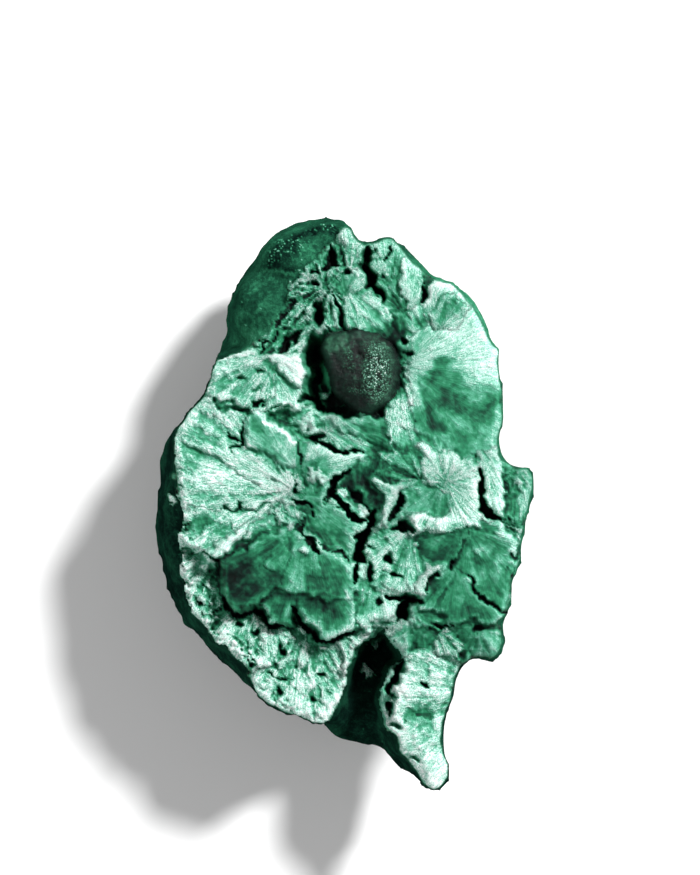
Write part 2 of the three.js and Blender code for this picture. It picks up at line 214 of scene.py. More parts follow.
# %% Lobes: middle (x, y, z) and half-widths
LOBES = [
    ((-4.3, 14.5, 8.0), (4.95, 4.4, 7.9)),
    ((-2.5, 17.8, 8.2), (4.5, 4.15, 7.4)),
    ((-1.0, 19.9, 10.4), (2.1, 2.2, 4.4)),
    ((-8.6, 3.4, 8.2), (5.6, 5.4, 6.4)),
    ((-8.5, -1.6, 8.0), (6.1, 5.6, 6.6)),
    ((-8.0, -5.8, 7.6), (6.2, 5.2, 5.6)),
    ((-5.6, -10.0, 7.2), (5.6, 5.2, 5.0)),
    ((-3.0, -12.4, 6.8), (4.4, 4.4, 4.6)),
    ((1.4, -13.6, 4.6), (4.8, 5.6, 4.6)),
    ((12.3, 0.9, 11.4), (2.2, 2.2, 3.2)),
    ((6.6, -13.2, 9.0), (3.0, 3.2, 4.4)),
    ((5.9, -17.0, 9.0), (2.6, 3.4, 4.0)),
    ((6.4, -19.6, 9.0), (1.9, 2.4, 3.4)),
]

# %% Nodule: its outline, its heights, and its faces as a point and a slope
NODULE_OUTLINE = [
    (-1.0, 12.9), (1.2, 13.2), (2.9, 13.0), (4.0, 12.0), (4.6, 10.4), (4.4, 8.7), (3.6, 7.2), (2.2, 6.4),
    (0.5, 6.8), (-0.8, 8.0), (-1.3, 9.7), (-1.6, 11.5),
]
NODULE_FOOT = 14.2
NODULE_RISE = 4.2
NODULE_ROUND = 2.3
NODULE_FACES = [
    ((0.9, 10.0, 17.9), (0.5, 0.1)),
    ((1.5, 10.0, 18.1), (-0.1, -0.1)),
    ((3.2, 10.0, 17.8), (-0.6, 0.2)),
    ((1.6, 8.2, 17.8), (0.1, 0.5)),
    ((1.4, 12.0, 17.7), (0.2, -0.5)),
    ((0.0, 12.2, 17.0), (0.6, -0.7)),
    ((0.7, 8.6, 17.3), (0.75, 0.7)),
]


# %% Height of a lobe
NOWHERE = -1e3  # a height that never wins


def lobe_height(x, y, lobe):
    (cx, cy, cz), (hx, hy, hz) = lobe
    inside = 1 - ((x - cx) / hx) ** 2 - ((y - cy) / hy) ** 2
    return np.where(inside > 0, cz + hz * np.sqrt(np.maximum(inside, 0)), NOWHERE)


# %% [markdown]
# ## Where the break is, and its lie of the land
#
# BREAK is the edge of the freshly broken part. Inside it the ground follows a few heights, blended
# by distance: high round the middle and the right, low towards the lower left, and very low in
# the gap between the left lobes and the prong.

# %% Edge of the break, and heights of its ground
BREAK = [
    (-0.4, 20.6), (0.9, 21.0), (1.4, 19.8), (3.0, 20.6), (4.4, 20.0), (6.4, 17.8), (9.0, 16.8),
    (12.4, 12.4), (12.6, 6.0), (12.6, 3.6), (15.0, 3.6), (15.0, 0.0), (14.0, -4.0), (13.4, -7.5),
    (12.8, -12.8), (9.8, -12.8), (9.6, -14.0), (9.2, -16.8), (9.2, -19.5), (9.2, -22.4),
    (7.0, -23.5), (6.2, -21.8), (5.3, -20.2), (4.3, -18.6), (3.3, -17.0), (2.6, -15.4),
    (2.9, -13.6), (3.6, -12.3), (4.4, -12.2), (3.9, -11.3), (3.4, -10.4), (3.0, -9.5), (1.7, -10.5),
    (0.9, -11.6), (0.4, -13.0), (-0.7, -16.2), (-1.8, -17.1), (-5.0, -16.0), (-6.7, -14.6),
    (-7.0, -13.0),
    (-9.4, -10.8), (-11.7, -7.9), (-12.3, -4.5), (-12.2, -2.0), (-12.4, 1.0), (-12.9, 5.0),
    (-12.2, 6.7), (-10.6, 8.3), (-9.9, 10.8), (-6.6, 11.9), (-5.4, 13.6), (-4.2, 16.3), (-2.7, 18.2),
    (-1.2, 19.6),
]
GROUND = [
    (-1.0, 19.0, 14.2), (-3.0, 15.0, 15.2), (2.0, 17.0, 14.4), (6.0, 16.0, 15.4), (9.4, 13.0, 16.2),
    (11.0, 8.0, 15.8), (7.4, 6.4, 15.5), (1.2, 9.6, 14.0), (-2.4, 10.8, 13.0), (-5.0, 12.0, 15.0),
    (-7.0, 9.0, 15.6),
    (-11.5, 5.0, 15.0), (-8.0, 2.0, 15.7), (-11.8, -1.0, 14.8), (-8.0, -3.4, 15.6), (-5.0, -5.2, 15.8),
    (-1.6, -5.4, 15.9), (-11.2, -6.2, 14.2), (-8.0, -10.0, 13.6), (-3.0, -12.4, 13.4),
    (-1.4, -15.4, 12.8), (2.2, -11.4, 9.0), (2.6, -15.0, 8.0), (6.2, -12.0, 14.0), (5.8, -17.0, 13.2),
    (6.8, -20.8, 12.2), (0.0, 2.6, 15.4), (2.2, 0.2, 15.6), (4.0, 2.6, 16.2), (8.0, 1.0, 16.4),
    (11.0, 1.6, 15.8), (13.4, 1.0, 14.6), (7.2, -3.4, 15.8), (11.0, -4.0, 15.6), (13.0, -3.0, 14.8),
    (3.0, -4.0, 15.2), (2.0, -7.6, 14.6), (8.4, -7.0, 15.5), (6.5, -9.4, 14.6), (4.4, -10.2, 13.6),
    (10.6, -10.2, 14.8), (9.0, -10.9, 14.6),
]


def ground_height(x, y):
    total, weights = np.zeros(x.shape), np.zeros(x.shape)
    for gx, gy, gz in GROUND:
        weight = 1 / ((x - gx) ** 2 + (y - gy) ** 2 + 0.4) ** 2
        total += weight * gz
        weights += weight
    return total / weights


# %% [markdown]
# ## The plates
#
# Each plate is one slice of a fan of fibres. It has an outline, the height of its middle, a
# slope along x and y, and the place where its fibres start. Its tone runs from 0, nearly black,
# to 1, nearly white, and is partly the stone's own greens and partly painted sheen and shade:
# fibres that catch the light side-on are painted pale and silky, and fibres seen on end a deep
# green. A dish above 0 is hollow in the middle, and below 0 it is domed. Grain is how rough the
# fibres broke, the rim number is how pale the broken edge is, partly a painted highlight where
# the edge stands proud, and bundle is how wide the bundles are.

# %% Plates: height, slope, where the fibres start, tone there, tone at the far end, outline
PLATES = []


def plate(height, slope, start, tone, far_tone, outline, dish=0.0, grain=1.0, rim=0.2, bundle=0.9):
    PLATES.append(dict(height=height, slope=slope, start=start, tone=tone, far_tone=far_tone,
                       outline=outline, dish=dish, grain=grain, rim=rim, bundle=bundle))


# Thick end: shelf above the nodule, then the splinters.
plate(15.9, (-0.05, -0.1), (0.0, 16.6), 0.65, 0.63, [(0.2, 14.9), (0.4, 13.3), (2.2, 13.1), (3.3, 13.2),
      (3.6, 13.8), (3.4, 14.8), (1.8, 15.5), (0.5, 16.0)], dish=0.2)
plate(15.7, (0.05, 0.12), (0.1, 15.4), 0.59, 0.5, [(0.2, 15.3), (2.0, 15.6), (1.3, 17.1), (0.7, 17.6),
      (-0.2, 17.2)])
plate(15.9, (-0.1, 0.1), (0.4, 17.0), 0.63, 0.58, [(0.1, 17.0), (1.1, 17.2), (1.1, 19.0), (0.5, 21.2),
      (-0.2, 21.3)], rim=0.0, grain=1.6)
plate(15.8, (0.2, 0.1), (-1.3, 16.2), 0.55, 0.3, [(-1.2, 16.2), (-0.3, 16.6), (-0.2, 17.8),
      (-1.0, 19.4), (-1.9, 18.6), (-1.9, 17.6)], rim=0.0, grain=1.8, bundle=0.5)
plate(16.2, (0.12, 0.1), (-1.3, 16.3), 0.46, 0.44, [(-6.2, 11.4), (-5.0, 11.6), (-3.0, 14.6),
      (-3.2, 16.0), (-4.4, 15.0)], rim=0.05, grain=2.2, bundle=0.45)
plate(16.1, (0.1, 0.2), (-1.2, 16.4), 0.6, 0.42, [(-5.1, 12.0), (-3.2, 13.2), (-1.5, 15.9),
      (-1.9, 16.8), (-3.0, 16.4), (-3.8, 14.6)], rim=0.0, grain=2.4, bundle=0.4)
plate(15.9, (0.1, 0.2), (-1.5, 13.6), 0.46, 0.56, [(-4.9, 11.3), (-2.6, 11.8), (-1.4, 13.4),
      (-3.0, 13.1)], grain=1.4, rim=0.2)
plate(16.0, (-0.1, 0.1), (-1.0, 16.2), 0.5, 0.5, [(-1.4, 13.6), (-0.3, 13.5), (-0.1, 15.0),
      (-0.8, 16.3), (-1.6, 15.3)], grain=2.2, bundle=0.35, rim=0.2)
plate(16.0, (0.0, 0.2), (-2.4, 16.9), 0.66, 0.58, [(-3.6, 16.2), (-2.1, 16.5), (-1.8, 17.4),
      (-2.2, 18.2), (-3.6, 17.8)], rim=0.0, grain=1.6)
# Blades at the right of the thick end.
plate(15.0, (-0.1, -0.15), (3.6, 16.4), 0.5, 0.55, [(2.4, 18.2), (2.4, 19.8), (3.1, 20.2), (4.0, 20.1),
      (5.2, 18.3), (4.5, 17.0), (3.4, 16.8)])
plate(15.9, (-0.3, -0.1), (4.9, 14.2), 0.72, 0.63, [(4.3, 16.9), (4.9, 18.4), (6.3, 17.1), (6.0, 15.7),
      (5.3, 14.7), (4.7, 14.6)])
plate(15.5, (0.3, 0.1), (4.7, 14.2), 0.45, 0.5, [(3.1, 15.6), (3.9, 14.8), (4.8, 14.4), (4.6, 15.5),
      (4.1, 17.1), (3.2, 16.8)])
plate(16.3, (0.2, 0.1), (4.0, 15.0), 0.27, 0.24, [(3.5, 13.3), (3.9, 12.6), (4.6, 13.3), (4.4, 14.4),
      (3.7, 14.3)], dish=-0.4, grain=0.4, rim=0.1)
plate(15.6, (0.2, 0.1), (5.8, 15.0), 0.28, 0.24, [(5.9, 15.2), (6.3, 17.3), (7.6, 16.9), (6.7, 16.1)],
      grain=0.4, rim=0.0)
# Right dome: pale rim, hollow green facet, whitish shoulder, broad silky hollow, pale left border.
plate(16.3, (0.05, -0.1), (6.6, 13.6), 0.74, 0.72, [(5.9, 15.0), (7.3, 16.7), (8.6, 16.7), (9.8, 15.0),
      (8.9, 14.4), (7.6, 15.2), (6.6, 14.4)])
plate(16.4, (0.0, 0.0), (6.9, 12.8), 0.52, 0.44, [(6.3, 14.2), (6.9, 13.2), (8.6, 13.2), (9.3, 14.7),
      (8.4, 15.6), (7.2, 15.4)], dish=0.5)
plate(16.2, (0.03, -0.02), (6.6, 12.0), 0.58, 0.58, [(4.9, 14.3), (5.3, 12.4), (6.6, 12.6), (6.6, 14.0),
      (6.1, 14.9)], dish=0.1)
plate(16.4, (-0.02, 0.02), (4.4, 10.4), 0.57, 0.53, [(4.9, 12.6), (4.8, 10.2), (5.2, 7.6), (5.4, 5.6),
      (7.2, 4.1), (9.8, 3.6), (11.8, 4.6), (12.3, 6.4), (12.1, 9.4), (12.0, 11.6), (10.6, 13.8),
      (9.3, 15.0), (8.4, 13.4), (6.6, 13.1)], grain=0.5, rim=0.0)
plate(16.3, (-0.08, -0.02), (4.0, 10.4), 0.66, 0.66, [(4.4, 10.6), (4.5, 9.0), (3.5, 6.8), (3.5, 4.6),
      (4.8, 4.0), (5.8, 5.6), (5.6, 7.6), (6.4, 9.6), (5.4, 11.2)], grain=1.3, rim=0.0)
# Below the nodule.
plate(16.1, (0.05, 0.3), (-0.6, 6.6), 0.5, 0.42, [(-0.9, 6.3), (0.2, 5.4), (2.2, 4.7), (3.6, 3.9),
      (3.3, 5.2), (2.4, 6.3), (0.8, 6.9)], grain=0.5)
plate(15.7, (-0.1, -0.15), (-1.4, 5.6), 0.64, 0.59, [(-1.9, 4.9), (0.6, 4.1), (2.4, 3.9), (2.2, 4.8),
      (0.2, 5.6), (-1.2, 6.0)])
plate(15.5, (0.2, 0.1), (-5.6, 6.0), 0.58, 0.59, [(-5.6, 6.2), (-3.6, 4.9), (-2.4, 5.0), (-1.7, 6.3),
      (-2.9, 7.0), (-4.2, 7.1)])
# Ledge left of the nodule.
plate(15.4, (0.0, 0.2), (-1.2, 10.8), 0.56, 0.5, [(-1.8, 9.2), (-1.2, 10.2), (-0.8, 10.0), (-0.9, 9.2),
      (-1.4, 8.7)])
plate(16.5, (0.02, -0.1), (-5.2, 11.4), 0.66, 0.63, [(-10.2, 9.9), (-10.4, 8.2), (-9.2, 7.2),
      (-7.4, 7.2), (-5.4, 7.9), (-5.0, 9.6), (-5.6, 11.2), (-7.8, 10.9)], grain=1.4)
plate(16.8, (0.04, -0.1), (-6.2, 11.6), 0.74, 0.76, [(-5.7, 11.2), (-3.4, 8.8), (-2.8, 9.2),
      (-2.8, 10.0), (-3.5, 11.1)])
plate(16.4, (0.02, -0.1), (-6.2, 11.6), 0.7, 0.7, [(-6.4, 10.4), (-4.6, 9.8), (-3.2, 8.5), (-3.3, 7.4),
      (-5.2, 7.5), (-6.4, 8.6)])
# Great fan of the left side.
plate(16.1, (0.02, 0.0), (-3.7, 1.0), 0.73, 0.68, [(-9.0, 7.4), (-10.8, 7.9), (-12.2, 6.4),
      (-12.9, 4.9), (-12.5, 1.0), (-12.3, -0.3), (-9.5, -0.5), (-4.2, 0.4), (-3.7, 1.2), (-3.9, 2.8),
      (-7.2, 4.4), (-7.4, 6.6)], grain=1.5, rim=0.05)
plate(15.95, (0.03, -0.03), (-3.7, 0.6), 0.68, 0.64, [(-12.4, 0.0), (-12.2, -2.2), (-12.0, -3.4),
      (-10.2, -3.7), (-3.6, 0.3), (-9.0, -0.3)], grain=1.5, rim=0.05)
plate(16.5, (-0.1, -0.3), (-3.4, 0.6), 0.66, 0.68, [(-10.1, -4.0), (-9.5, -3.3), (-7.0, -1.2),
      (-3.6, 0.5), (-4.4, 0.2), (-7.2, -1.8), (-9.2, -3.7)], rim=0.1)
plate(16.1, (0.05, 0.25), (-3.4, 0.2), 0.62, 0.54, [(-9.4, -4.0), (-7.2, -2.0), (-4.2, 0.0),
      (-3.3, 0.1), (-4.6, -1.2), (-5.8, -2.4), (-6.6, -3.6)])
plate(16.6, (0.0, 0.08), (-3.6, 2.6), 0.58, 0.53, [(-7.2, 4.3), (-5.2, 3.3), (-3.6, 2.8), (-3.5, 4.7),
      (-5.6, 6.1), (-6.6, 7.0), (-7.3, 6.2)], grain=0.45, rim=0.5)
# Dark plates with scalloped lower edges.
plate(16.6, (0.1, 0.06), (-2.6, -1.4), 0.42, 0.24, [(-9.3, -4.0), (-9.0, -6.8), (-8.5, -8.0),
      (-7.0, -7.6), (-6.2, -7.0), (-4.8, -6.4), (-4.0, -4.4), (-4.2, -2.3), (-5.6, -2.4), (-7.0, -3.5)],
      grain=0.8, rim=0.05, bundle=1.6)
plate(16.7, (0.05, 0.06), (-2.6, -1.4), 0.47, 0.38, [(-4.8, -6.4), (-4.4, -4.2), (-4.2, -2.4),
      (-2.9, -2.0), (-1.0, -3.6), (0.9, -5.0), (0.8, -7.2), (-1.2, -7.4), (-3.2, -6.8)], grain=0.7,
      rim=0.04, bundle=1.6)
plate(16.0, (0.12, 0.12), (-3.6, -4.6), 0.44, 0.36, [(-6.4, -7.0), (-5.4, -8.9), (-4.5, -8.9),
      (-3.4, -7.5), (-3.2, -6.6), (-4.8, -6.2)], grain=0.6, bundle=1.6)
plate(16.1, (0.1, 0.14), (-1.6, -4.6), 0.46, 0.4, [(-3.4, -6.7), (-3.0, -8.3), (-2.5, -9.7),
      (-1.5, -10.0), (0.0, -9.8), (0.9, -9.0), (0.8, -6.8), (-1.2, -7.2)], grain=0.6, bundle=1.6)
plate(15.8, (0.2, 0.2), (-3.2, 0.6), 0.46, 0.46, [(-3.2, 0.2), (-3.0, -1.8), (-2.2, -3.1), (-0.8, -3.4),
      (0.6, -4.1), (1.2, -3.3), (1.35, -2.3), (1.0, -1.0), (-0.6, 0.2), (-2.2, 0.9)], grain=0.6,
      rim=0.4)
# Porous rim round the lower left.
plate(14.5, (-0.2, -0.1), (-9.0, -3.0), 0.71, 0.72, [(-12.2, -3.0), (-12.3, -5.2), (-11.5, -7.8),
      (-10.2, -9.4), (-8.8, -8.2), (-9.2, -4.4), (-10.4, -3.4)], grain=2.4)
plate(14.3, (-0.15, -0.2), (-6.0, -6.0), 0.71, 0.72, [(-10.5, -9.0), (-8.6, -10.9), (-6.9, -12.5),
      (-4.0, -11.4), (-3.0, -9.2), (-7.0, -7.6), (-9.0, -7.8)], grain=2.4)
plate(14.0, (-0.05, -0.1), (-3.0, -8.6), 0.71, 0.72, [(-7.0, -12.6), (-6.1, -14.9), (-4.6, -15.8),
      (-2.8, -16.3), (-1.8, -16.9), (-0.9, -16.0), (0.1, -14.3), (0.4, -12.0), (-0.2, -10.4),
      (-4.4, -9.8)], grain=2.4)
plate(14.4, (0.1, -0.2), (-1.0, -9.0), 0.74, 0.72, [(-0.6, -10.2), (0.3, -12.6), (0.8, -11.2),
      (1.6, -10.2), (2.4, -9.2), (1.6, -8.9), (0.0, -9.8)], grain=1.6)
# Middle.
plate(16.0, (0.0, 0.12), (-2.8, 2.6), 0.5, 0.58, [(-2.6, 4.2), (-3.0, 2.6), (-2.7, 1.0), (-0.9, 0.4),
      (-0.7, 1.6), (0.3, 2.5), (1.9, 3.6), (0.4, 4.0)], grain=0.6, rim=0.5)
plate(16.1, (0.35, 0.1), (1.0, -0.8), 0.3, 0.2, [(0.4, 2.4), (0.9, 0.8), (1.9, -0.8), (2.8, -1.0),
      (3.2, 0.2), (3.5, 1.8), (3.0, 3.0), (1.9, 3.5)], dish=0.4, grain=0.7)
plate(16.6, (-0.2, 0.0), (4.4, 0.6), 0.64, 0.6, [(2.9, 0.9), (3.1, -1.3), (3.5, -0.8), (3.6, 0.2),
      (4.5, 1.0), (6.6, 1.3), (5.8, 1.8), (2.3, 1.6)], rim=0.15)
plate(16.5, (-0.1, 0.1), (6.0, 1.6), 0.45, 0.38, [(2.5, 1.9), (5.4, 1.8), (6.0, 3.0), (4.8, 3.9),
      (3.2, 3.6)], grain=1.6)
plate(16.3, (0.1, 0.15), (7.4, 1.6), 0.55, 0.5, [(4.4, 0.7), (4.4, -0.7), (5.0, -1.1), (8.2, -0.9),
      (8.1, 0.3), (7.3, 1.3)], grain=0.6, rim=0.4)
plate(16.7, (-0.12, -0.05), (7.7, 1.6), 0.72, 0.79, [(7.3, 1.3), (8.2, 0.2), (8.3, -0.8), (5.2, -1.1),
      (5.2, -2.0), (8.5, -2.1), (9.8, -1.4), (10.2, -0.7), (10.3, 1.0), (9.8, 3.0), (8.4, 3.5),
      (6.0, 3.9), (6.0, 2.2)], grain=1.2)
# Strip and ear at the right edge.
plate(16.2, (-0.2, -0.05), (10.2, 4.6), 0.59, 0.61, [(10.7, 0.2), (11.2, -1.0), (11.9, -1.0),
      (12.1, 1.2), (12.0, 2.8), (11.7, 4.5), (10.0, 4.4), (10.6, 1.8)])
plate(15.2, (0.2, 0.0), (13.2, 2.6), 0.45, 0.4, [(12.0, 0.6), (12.0, -1.0), (13.3, -1.2), (13.3, 1.0),
      (13.0, 2.4), (12.2, 2.7)])
plate(15.2, (-0.3, 0.0), (13.2, 2.6), 0.57, 0.5, [(13.1, 1.2), (13.3, -1.0), (13.9, -0.8), (14.4, 1.0),
      (14.3, 2.3), (13.9, 2.9), (13.0, 2.6)])
# Lower right.
plate(16.1, (0.12, 0.12), (9.2, -1.8), 0.4, 0.3, [(5.2, -3.3), (6.0, -4.3), (7.4, -4.8), (8.6, -4.1),
      (9.5, -2.0), (5.2, -2.1)], grain=0.5)
plate(15.9, (0.04, 0.1), (9.4, -1.8), 0.5, 0.42, [(9.6, -2.0), (8.6, -4.2), (9.3, -5.5), (10.4, -6.8),
      (12.0, -7.8), (12.8, -6.0), (12.9, -4.0), (12.7, -2.2), (11.4, -1.8)], grain=0.6)
plate(15.2, (-0.2, 0.0), (12.4, -1.6), 0.5, 0.45, [(12.5, -2.2), (12.7, -4.2), (12.6, -6.0),
      (13.1, -5.4), (13.6, -4.2), (13.5, -2.4), (13.9, -1.2), (12.2, -1.4)], grain=2.2)
plate(15.9, (0.1, 0.06), (8.6, -4.6), 0.42, 0.36, [(7.5, -5.2), (6.4, -6.3), (5.6, -7.2), (5.7, -8.0),
      (7.4, -7.9), (8.3, -9.0), (9.6, -8.7), (10.8, -8.8), (11.9, -8.3), (10.9, -7.4), (9.5, -6.0),
      (8.5, -4.7)], grain=0.5)
plate(15.6, (0.0, 0.0), (10.6, -6.8), 0.4, 0.35, [(10.9, -7.6), (12.0, -8.5), (12.5, -8.2),
      (12.8, -7.2), (12.8, -6.2), (12.0, -7.6)])
plate(15.3, (-0.05, 0.1), (10.2, -9.4), 0.46, 0.36, [(9.2, -9.3), (10.0, -8.7), (11.8, -8.9),
      (12.3, -10.3), (11.9, -11.9), (11.0, -12.2), (10.0, -11.6), (9.4, -10.5)], dish=-0.8, grain=0.7,
      rim=0.0)
plate(15.3, (0.1, -0.1), (5.0, -8.2), 0.5, 0.46, [(4.9, -8.4), (5.6, -7.9), (7.2, -8.1), (7.9, -8.8),
      (7.0, -9.3), (5.6, -9.3)], dish=-0.5, grain=0.6)
plate(14.9, (0.0, 0.1), (4.9, -9.6), 0.5, 0.5, [(3.9, -9.7), (4.7, -9.3), (5.4, -9.8), (5.5, -10.7),
      (4.9, -11.5), (4.2, -11.3), (3.7, -10.5)], dish=-0.7, grain=0.5, rim=0.4)
plate(15.0, (0.0, 0.1), (6.0, -9.4), 0.45, 0.44, [(5.4, -9.5), (6.2, -9.2), (6.9, -9.7), (6.8, -10.5),
      (6.1, -10.9), (5.5, -10.5)], dish=-0.7, grain=0.4, rim=0.15)
plate(14.9, (0.1, 0.0), (7.0, -9.6), 0.64, 0.62, [(6.9, -9.6), (8.2, -9.6), (8.5, -10.6), (7.9, -11.4),
      (7.0, -11.1), (6.7, -10.4)], grain=1.8)
plate(14.7, (0.1, 0.1), (4.2, -9.0), 0.66, 0.62, [(3.0, -9.5), (3.6, -8.8), (4.4, -9.0), (4.2, -9.6),
      (3.5, -10.1)], grain=1.6)
# Pitted chunk right of the middle crack.
plate(15.8, (0.05, -0.02), (5.2, -1.6), 0.63, 0.6, [(2.1, -3.4), (2.6, -1.9), (3.4, -1.3), (4.9, -1.8),
      (5.2, -3.2), (6.6, -4.8), (5.6, -6.7), (3.4, -6.4), (1.7, -5.8)], grain=1.0)
plate(15.5, (-0.1, -0.1), (2.4, -4.6), 0.62, 0.64, [(1.7, -5.6), (3.4, -6.3), (4.2, -7.2), (3.4, -8.3),
      (1.6, -9.2), (0.6, -8.6), (0.5, -6.9)], grain=0.9)
plate(16.5, (-0.3, 0.1), (6.4, -4.8), 0.74, 0.72, [(5.5, -6.3), (6.3, -4.8), (7.1, -5.0), (6.0, -6.7)])
# Prong.
plate(14.1, (-0.12, 0.07), (12.5, -14.5), 0.76, 0.76, [(6.0, -10.7), (7.4, -11.2), (8.5, -12.8),
      (8.2, -14.4), (7.4, -15.6), (7.3, -17.5), (7.3, -18.7), (8.0, -19.8), (7.9, -21.2), (6.9, -22.0),
      (5.9, -21.4), (5.2, -19.9), (4.4, -18.4), (3.6, -17.0), (3.9, -15.0), (4.7, -12.8), (5.2, -11.5)],
      dish=-0.3, grain=1.4)
plate(13.0, (0.3, 0.1), (3.8, -12.4), 0.46, 0.4, [(2.8, -15.8), (2.6, -14.6), (3.0, -13.2),
      (3.8, -12.4), (4.2, -13.0), (3.9, -14.6), (3.5, -16.2)], grain=0.6, rim=0.15)
print(len(PLATES), "plates")

# %% [markdown]
# ## Cracks, pits and crumbs
#
# Gaps open where plates broke apart, some of them deep, with painted shade that makes them nearly
# black. Each crack tapers at its ends and varies in width. Small pits are places that the growth
# left hollow. Crumbs are grains that stayed behind when the stone broke, and along the crumbled
# strips it broke into grit.

# %% Cracks: line, half-width, depth
CRACKS = [
    ([(1.9, 19.4), (1.8, 17.6), (2.2, 16.4), (3.1, 15.3)], 0.42, 4.0),
    ([(-0.9, 19.6), (-1.0, 18.4), (-1.3, 17.5)], 0.28, 2.0),
    ([(-0.9, 16.0), (-0.4, 14.8), (-0.2, 13.5)], 0.18, 1.2),
    ([(-3.2, 13.1), (-4.0, 12.2), (-5.0, 11.3)], 0.2, 1.4),
    ([(-5.8, 12.4), (-6.0, 11.9), (-6.3, 11.2)], 0.12, 0.8),
    ([(-3.6, 15.6), (-4.6, 13.6), (-5.6, 12.2)], 0.14, 0.7),
    ([(3.7, 19.4), (3.2, 18.2)], 0.14, 1.0),
    ([(6.3, 16.6), (6.0, 15.8), (5.7, 15.0)], 0.2, 1.0),
    ([(-10.0, 7.9), (-8.8, 7.0), (-7.2, 6.9)], 0.42, 0.6),
    ([(-7.1, 7.4), (-6.4, 7.7), (-5.8, 7.6)], 0.14, 1.2),
    ([(-6.0, 6.9), (-5.0, 7.4), (-3.8, 7.4)], 0.1, 0.6),
    ([(-3.4, 7.9), (-2.4, 8.0), (-1.6, 7.0)], 0.25, 1.8),
    ([(-8.9, 5.5), (-8.2, 4.9), (-7.6, 4.5)], 0.14, 1.0),
    ([(-7.5, 5.9), (-7.7, 5.2), (-7.6, 4.5), (-8.5, 4.1)], 0.14, 1.0),
    ([(-8.3, -0.35), (-7.5, 0.0)], 0.12, 0.8),
    ([(-9.5, -0.5), (-7.0, -0.3), (-4.3, 0.3)], 0.1, 0.5),
    ([(-3.4, 4.9), (-3.0, 3.8), (-3.0, 2.8)], 0.1, 0.6),
    ([(-3.9, 2.0), (-3.8, 0.7)], 0.15, 1.0),
    ([(-2.5, 4.4), (-0.8, 4.1), (1.7, 3.75)], 0.18, 1.6),
    ([(0.4, 2.5), (-0.6, 1.7), (-1.0, 0.8), (0.4, -0.3), (1.6, -1.6)], 0.44, 2.2),
    ([(0.5, 1.4), (1.1, 0.4), (1.8, -0.6), (2.2, -1.5)], 0.2, 0.8),
    ([(1.4, -1.0), (2.2, -1.3)], 0.34, 2.0),
    ([(-3.7, 0.1), (-2.5, -0.3), (-2.2, -1.0)], 0.14, 1.0),
    ([(2.1, -0.4), (1.5, -2.5), (1.2, -4.0), (0.8, -5.9)], 0.42, 4.0),
    ([(-3.2, -1.6), (-2.4, -2.8), (-2.0, -3.8)], 0.26, 1.2),
    ([(-1.8, -3.0), (-0.6, -3.6), (0.4, -4.3)], 0.11, 0.8),
    ([(-10.6, -3.8), (-9.2, -4.3)], 0.2, 1.0),
    ([(-9.3, -7.0), (-8.4, -8.2), (-6.8, -8.2)], 0.26, 1.8),
    ([(-6.7, -7.4), (-5.6, -9.2), (-4.4, -9.3)], 0.3, 1.8),
    ([(-3.7, -7.8), (-3.1, -9.0), (-2.2, -10.1), (-0.6, -10.3), (0.8, -9.6)], 0.3, 2.0),
    ([(-5.0, -14.0), (-4.6, -14.6)], 0.2, 1.0),
    ([(-5.8, -12.8), (-4.0, -13.5)], 0.14, 0.8),
    ([(10.3, 2.6), (10.45, 0.6), (10.6, -0.2), (11.4, -1.2), (12.1, -1.5)], 0.24, 1.8),
    ([(3.5, -1.2), (4.2, 0.2), (4.4, 0.8)], 0.26, 2.0),
    ([(3.6, -1.6), (4.8, -1.7), (5.4, -2.1)], 0.2, 1.5),
    ([(9.4, -1.9), (8.6, -4.2)], 0.06, 0.3),
    ([(9.3, -5.4), (10.0, -6.7), (11.0, -7.5), (12.0, -8.0)], 0.16, 1.2),
    ([(7.3, -5.0), (6.1, -6.8)], 0.16, 1.2),
    ([(3.6, -7.0), (4.4, -7.3), (5.7, -7.2)], 0.34, 3.0),
    ([(5.3, -7.2), (4.7, -8.0), (3.9, -9.0)], 0.42, 3.0),
    ([(8.0, -4.9), (8.3, -4.2)], 0.2, 1.0),
    ([(6.6, -8.9), (7.4, -9.2), (8.3, -9.2)], 0.14, 1.0),
    ([(2.7, -7.4), (3.4, -7.6)], 0.12, 0.8),
    ([(5.5, -13.4), (6.6, -13.9)], 0.16, 1.0),
    ([(4.6, -11.9), (4.2, -13.2), (3.9, -14.3)], 0.3, 3.0),
    ([(3.7, -14.8), (3.4, -16.2)], 0.24, 2.0),
    ([(12.1, 2.9), (12.3, 1.2), (12.1, -0.4)], 0.08, 0.4),
]

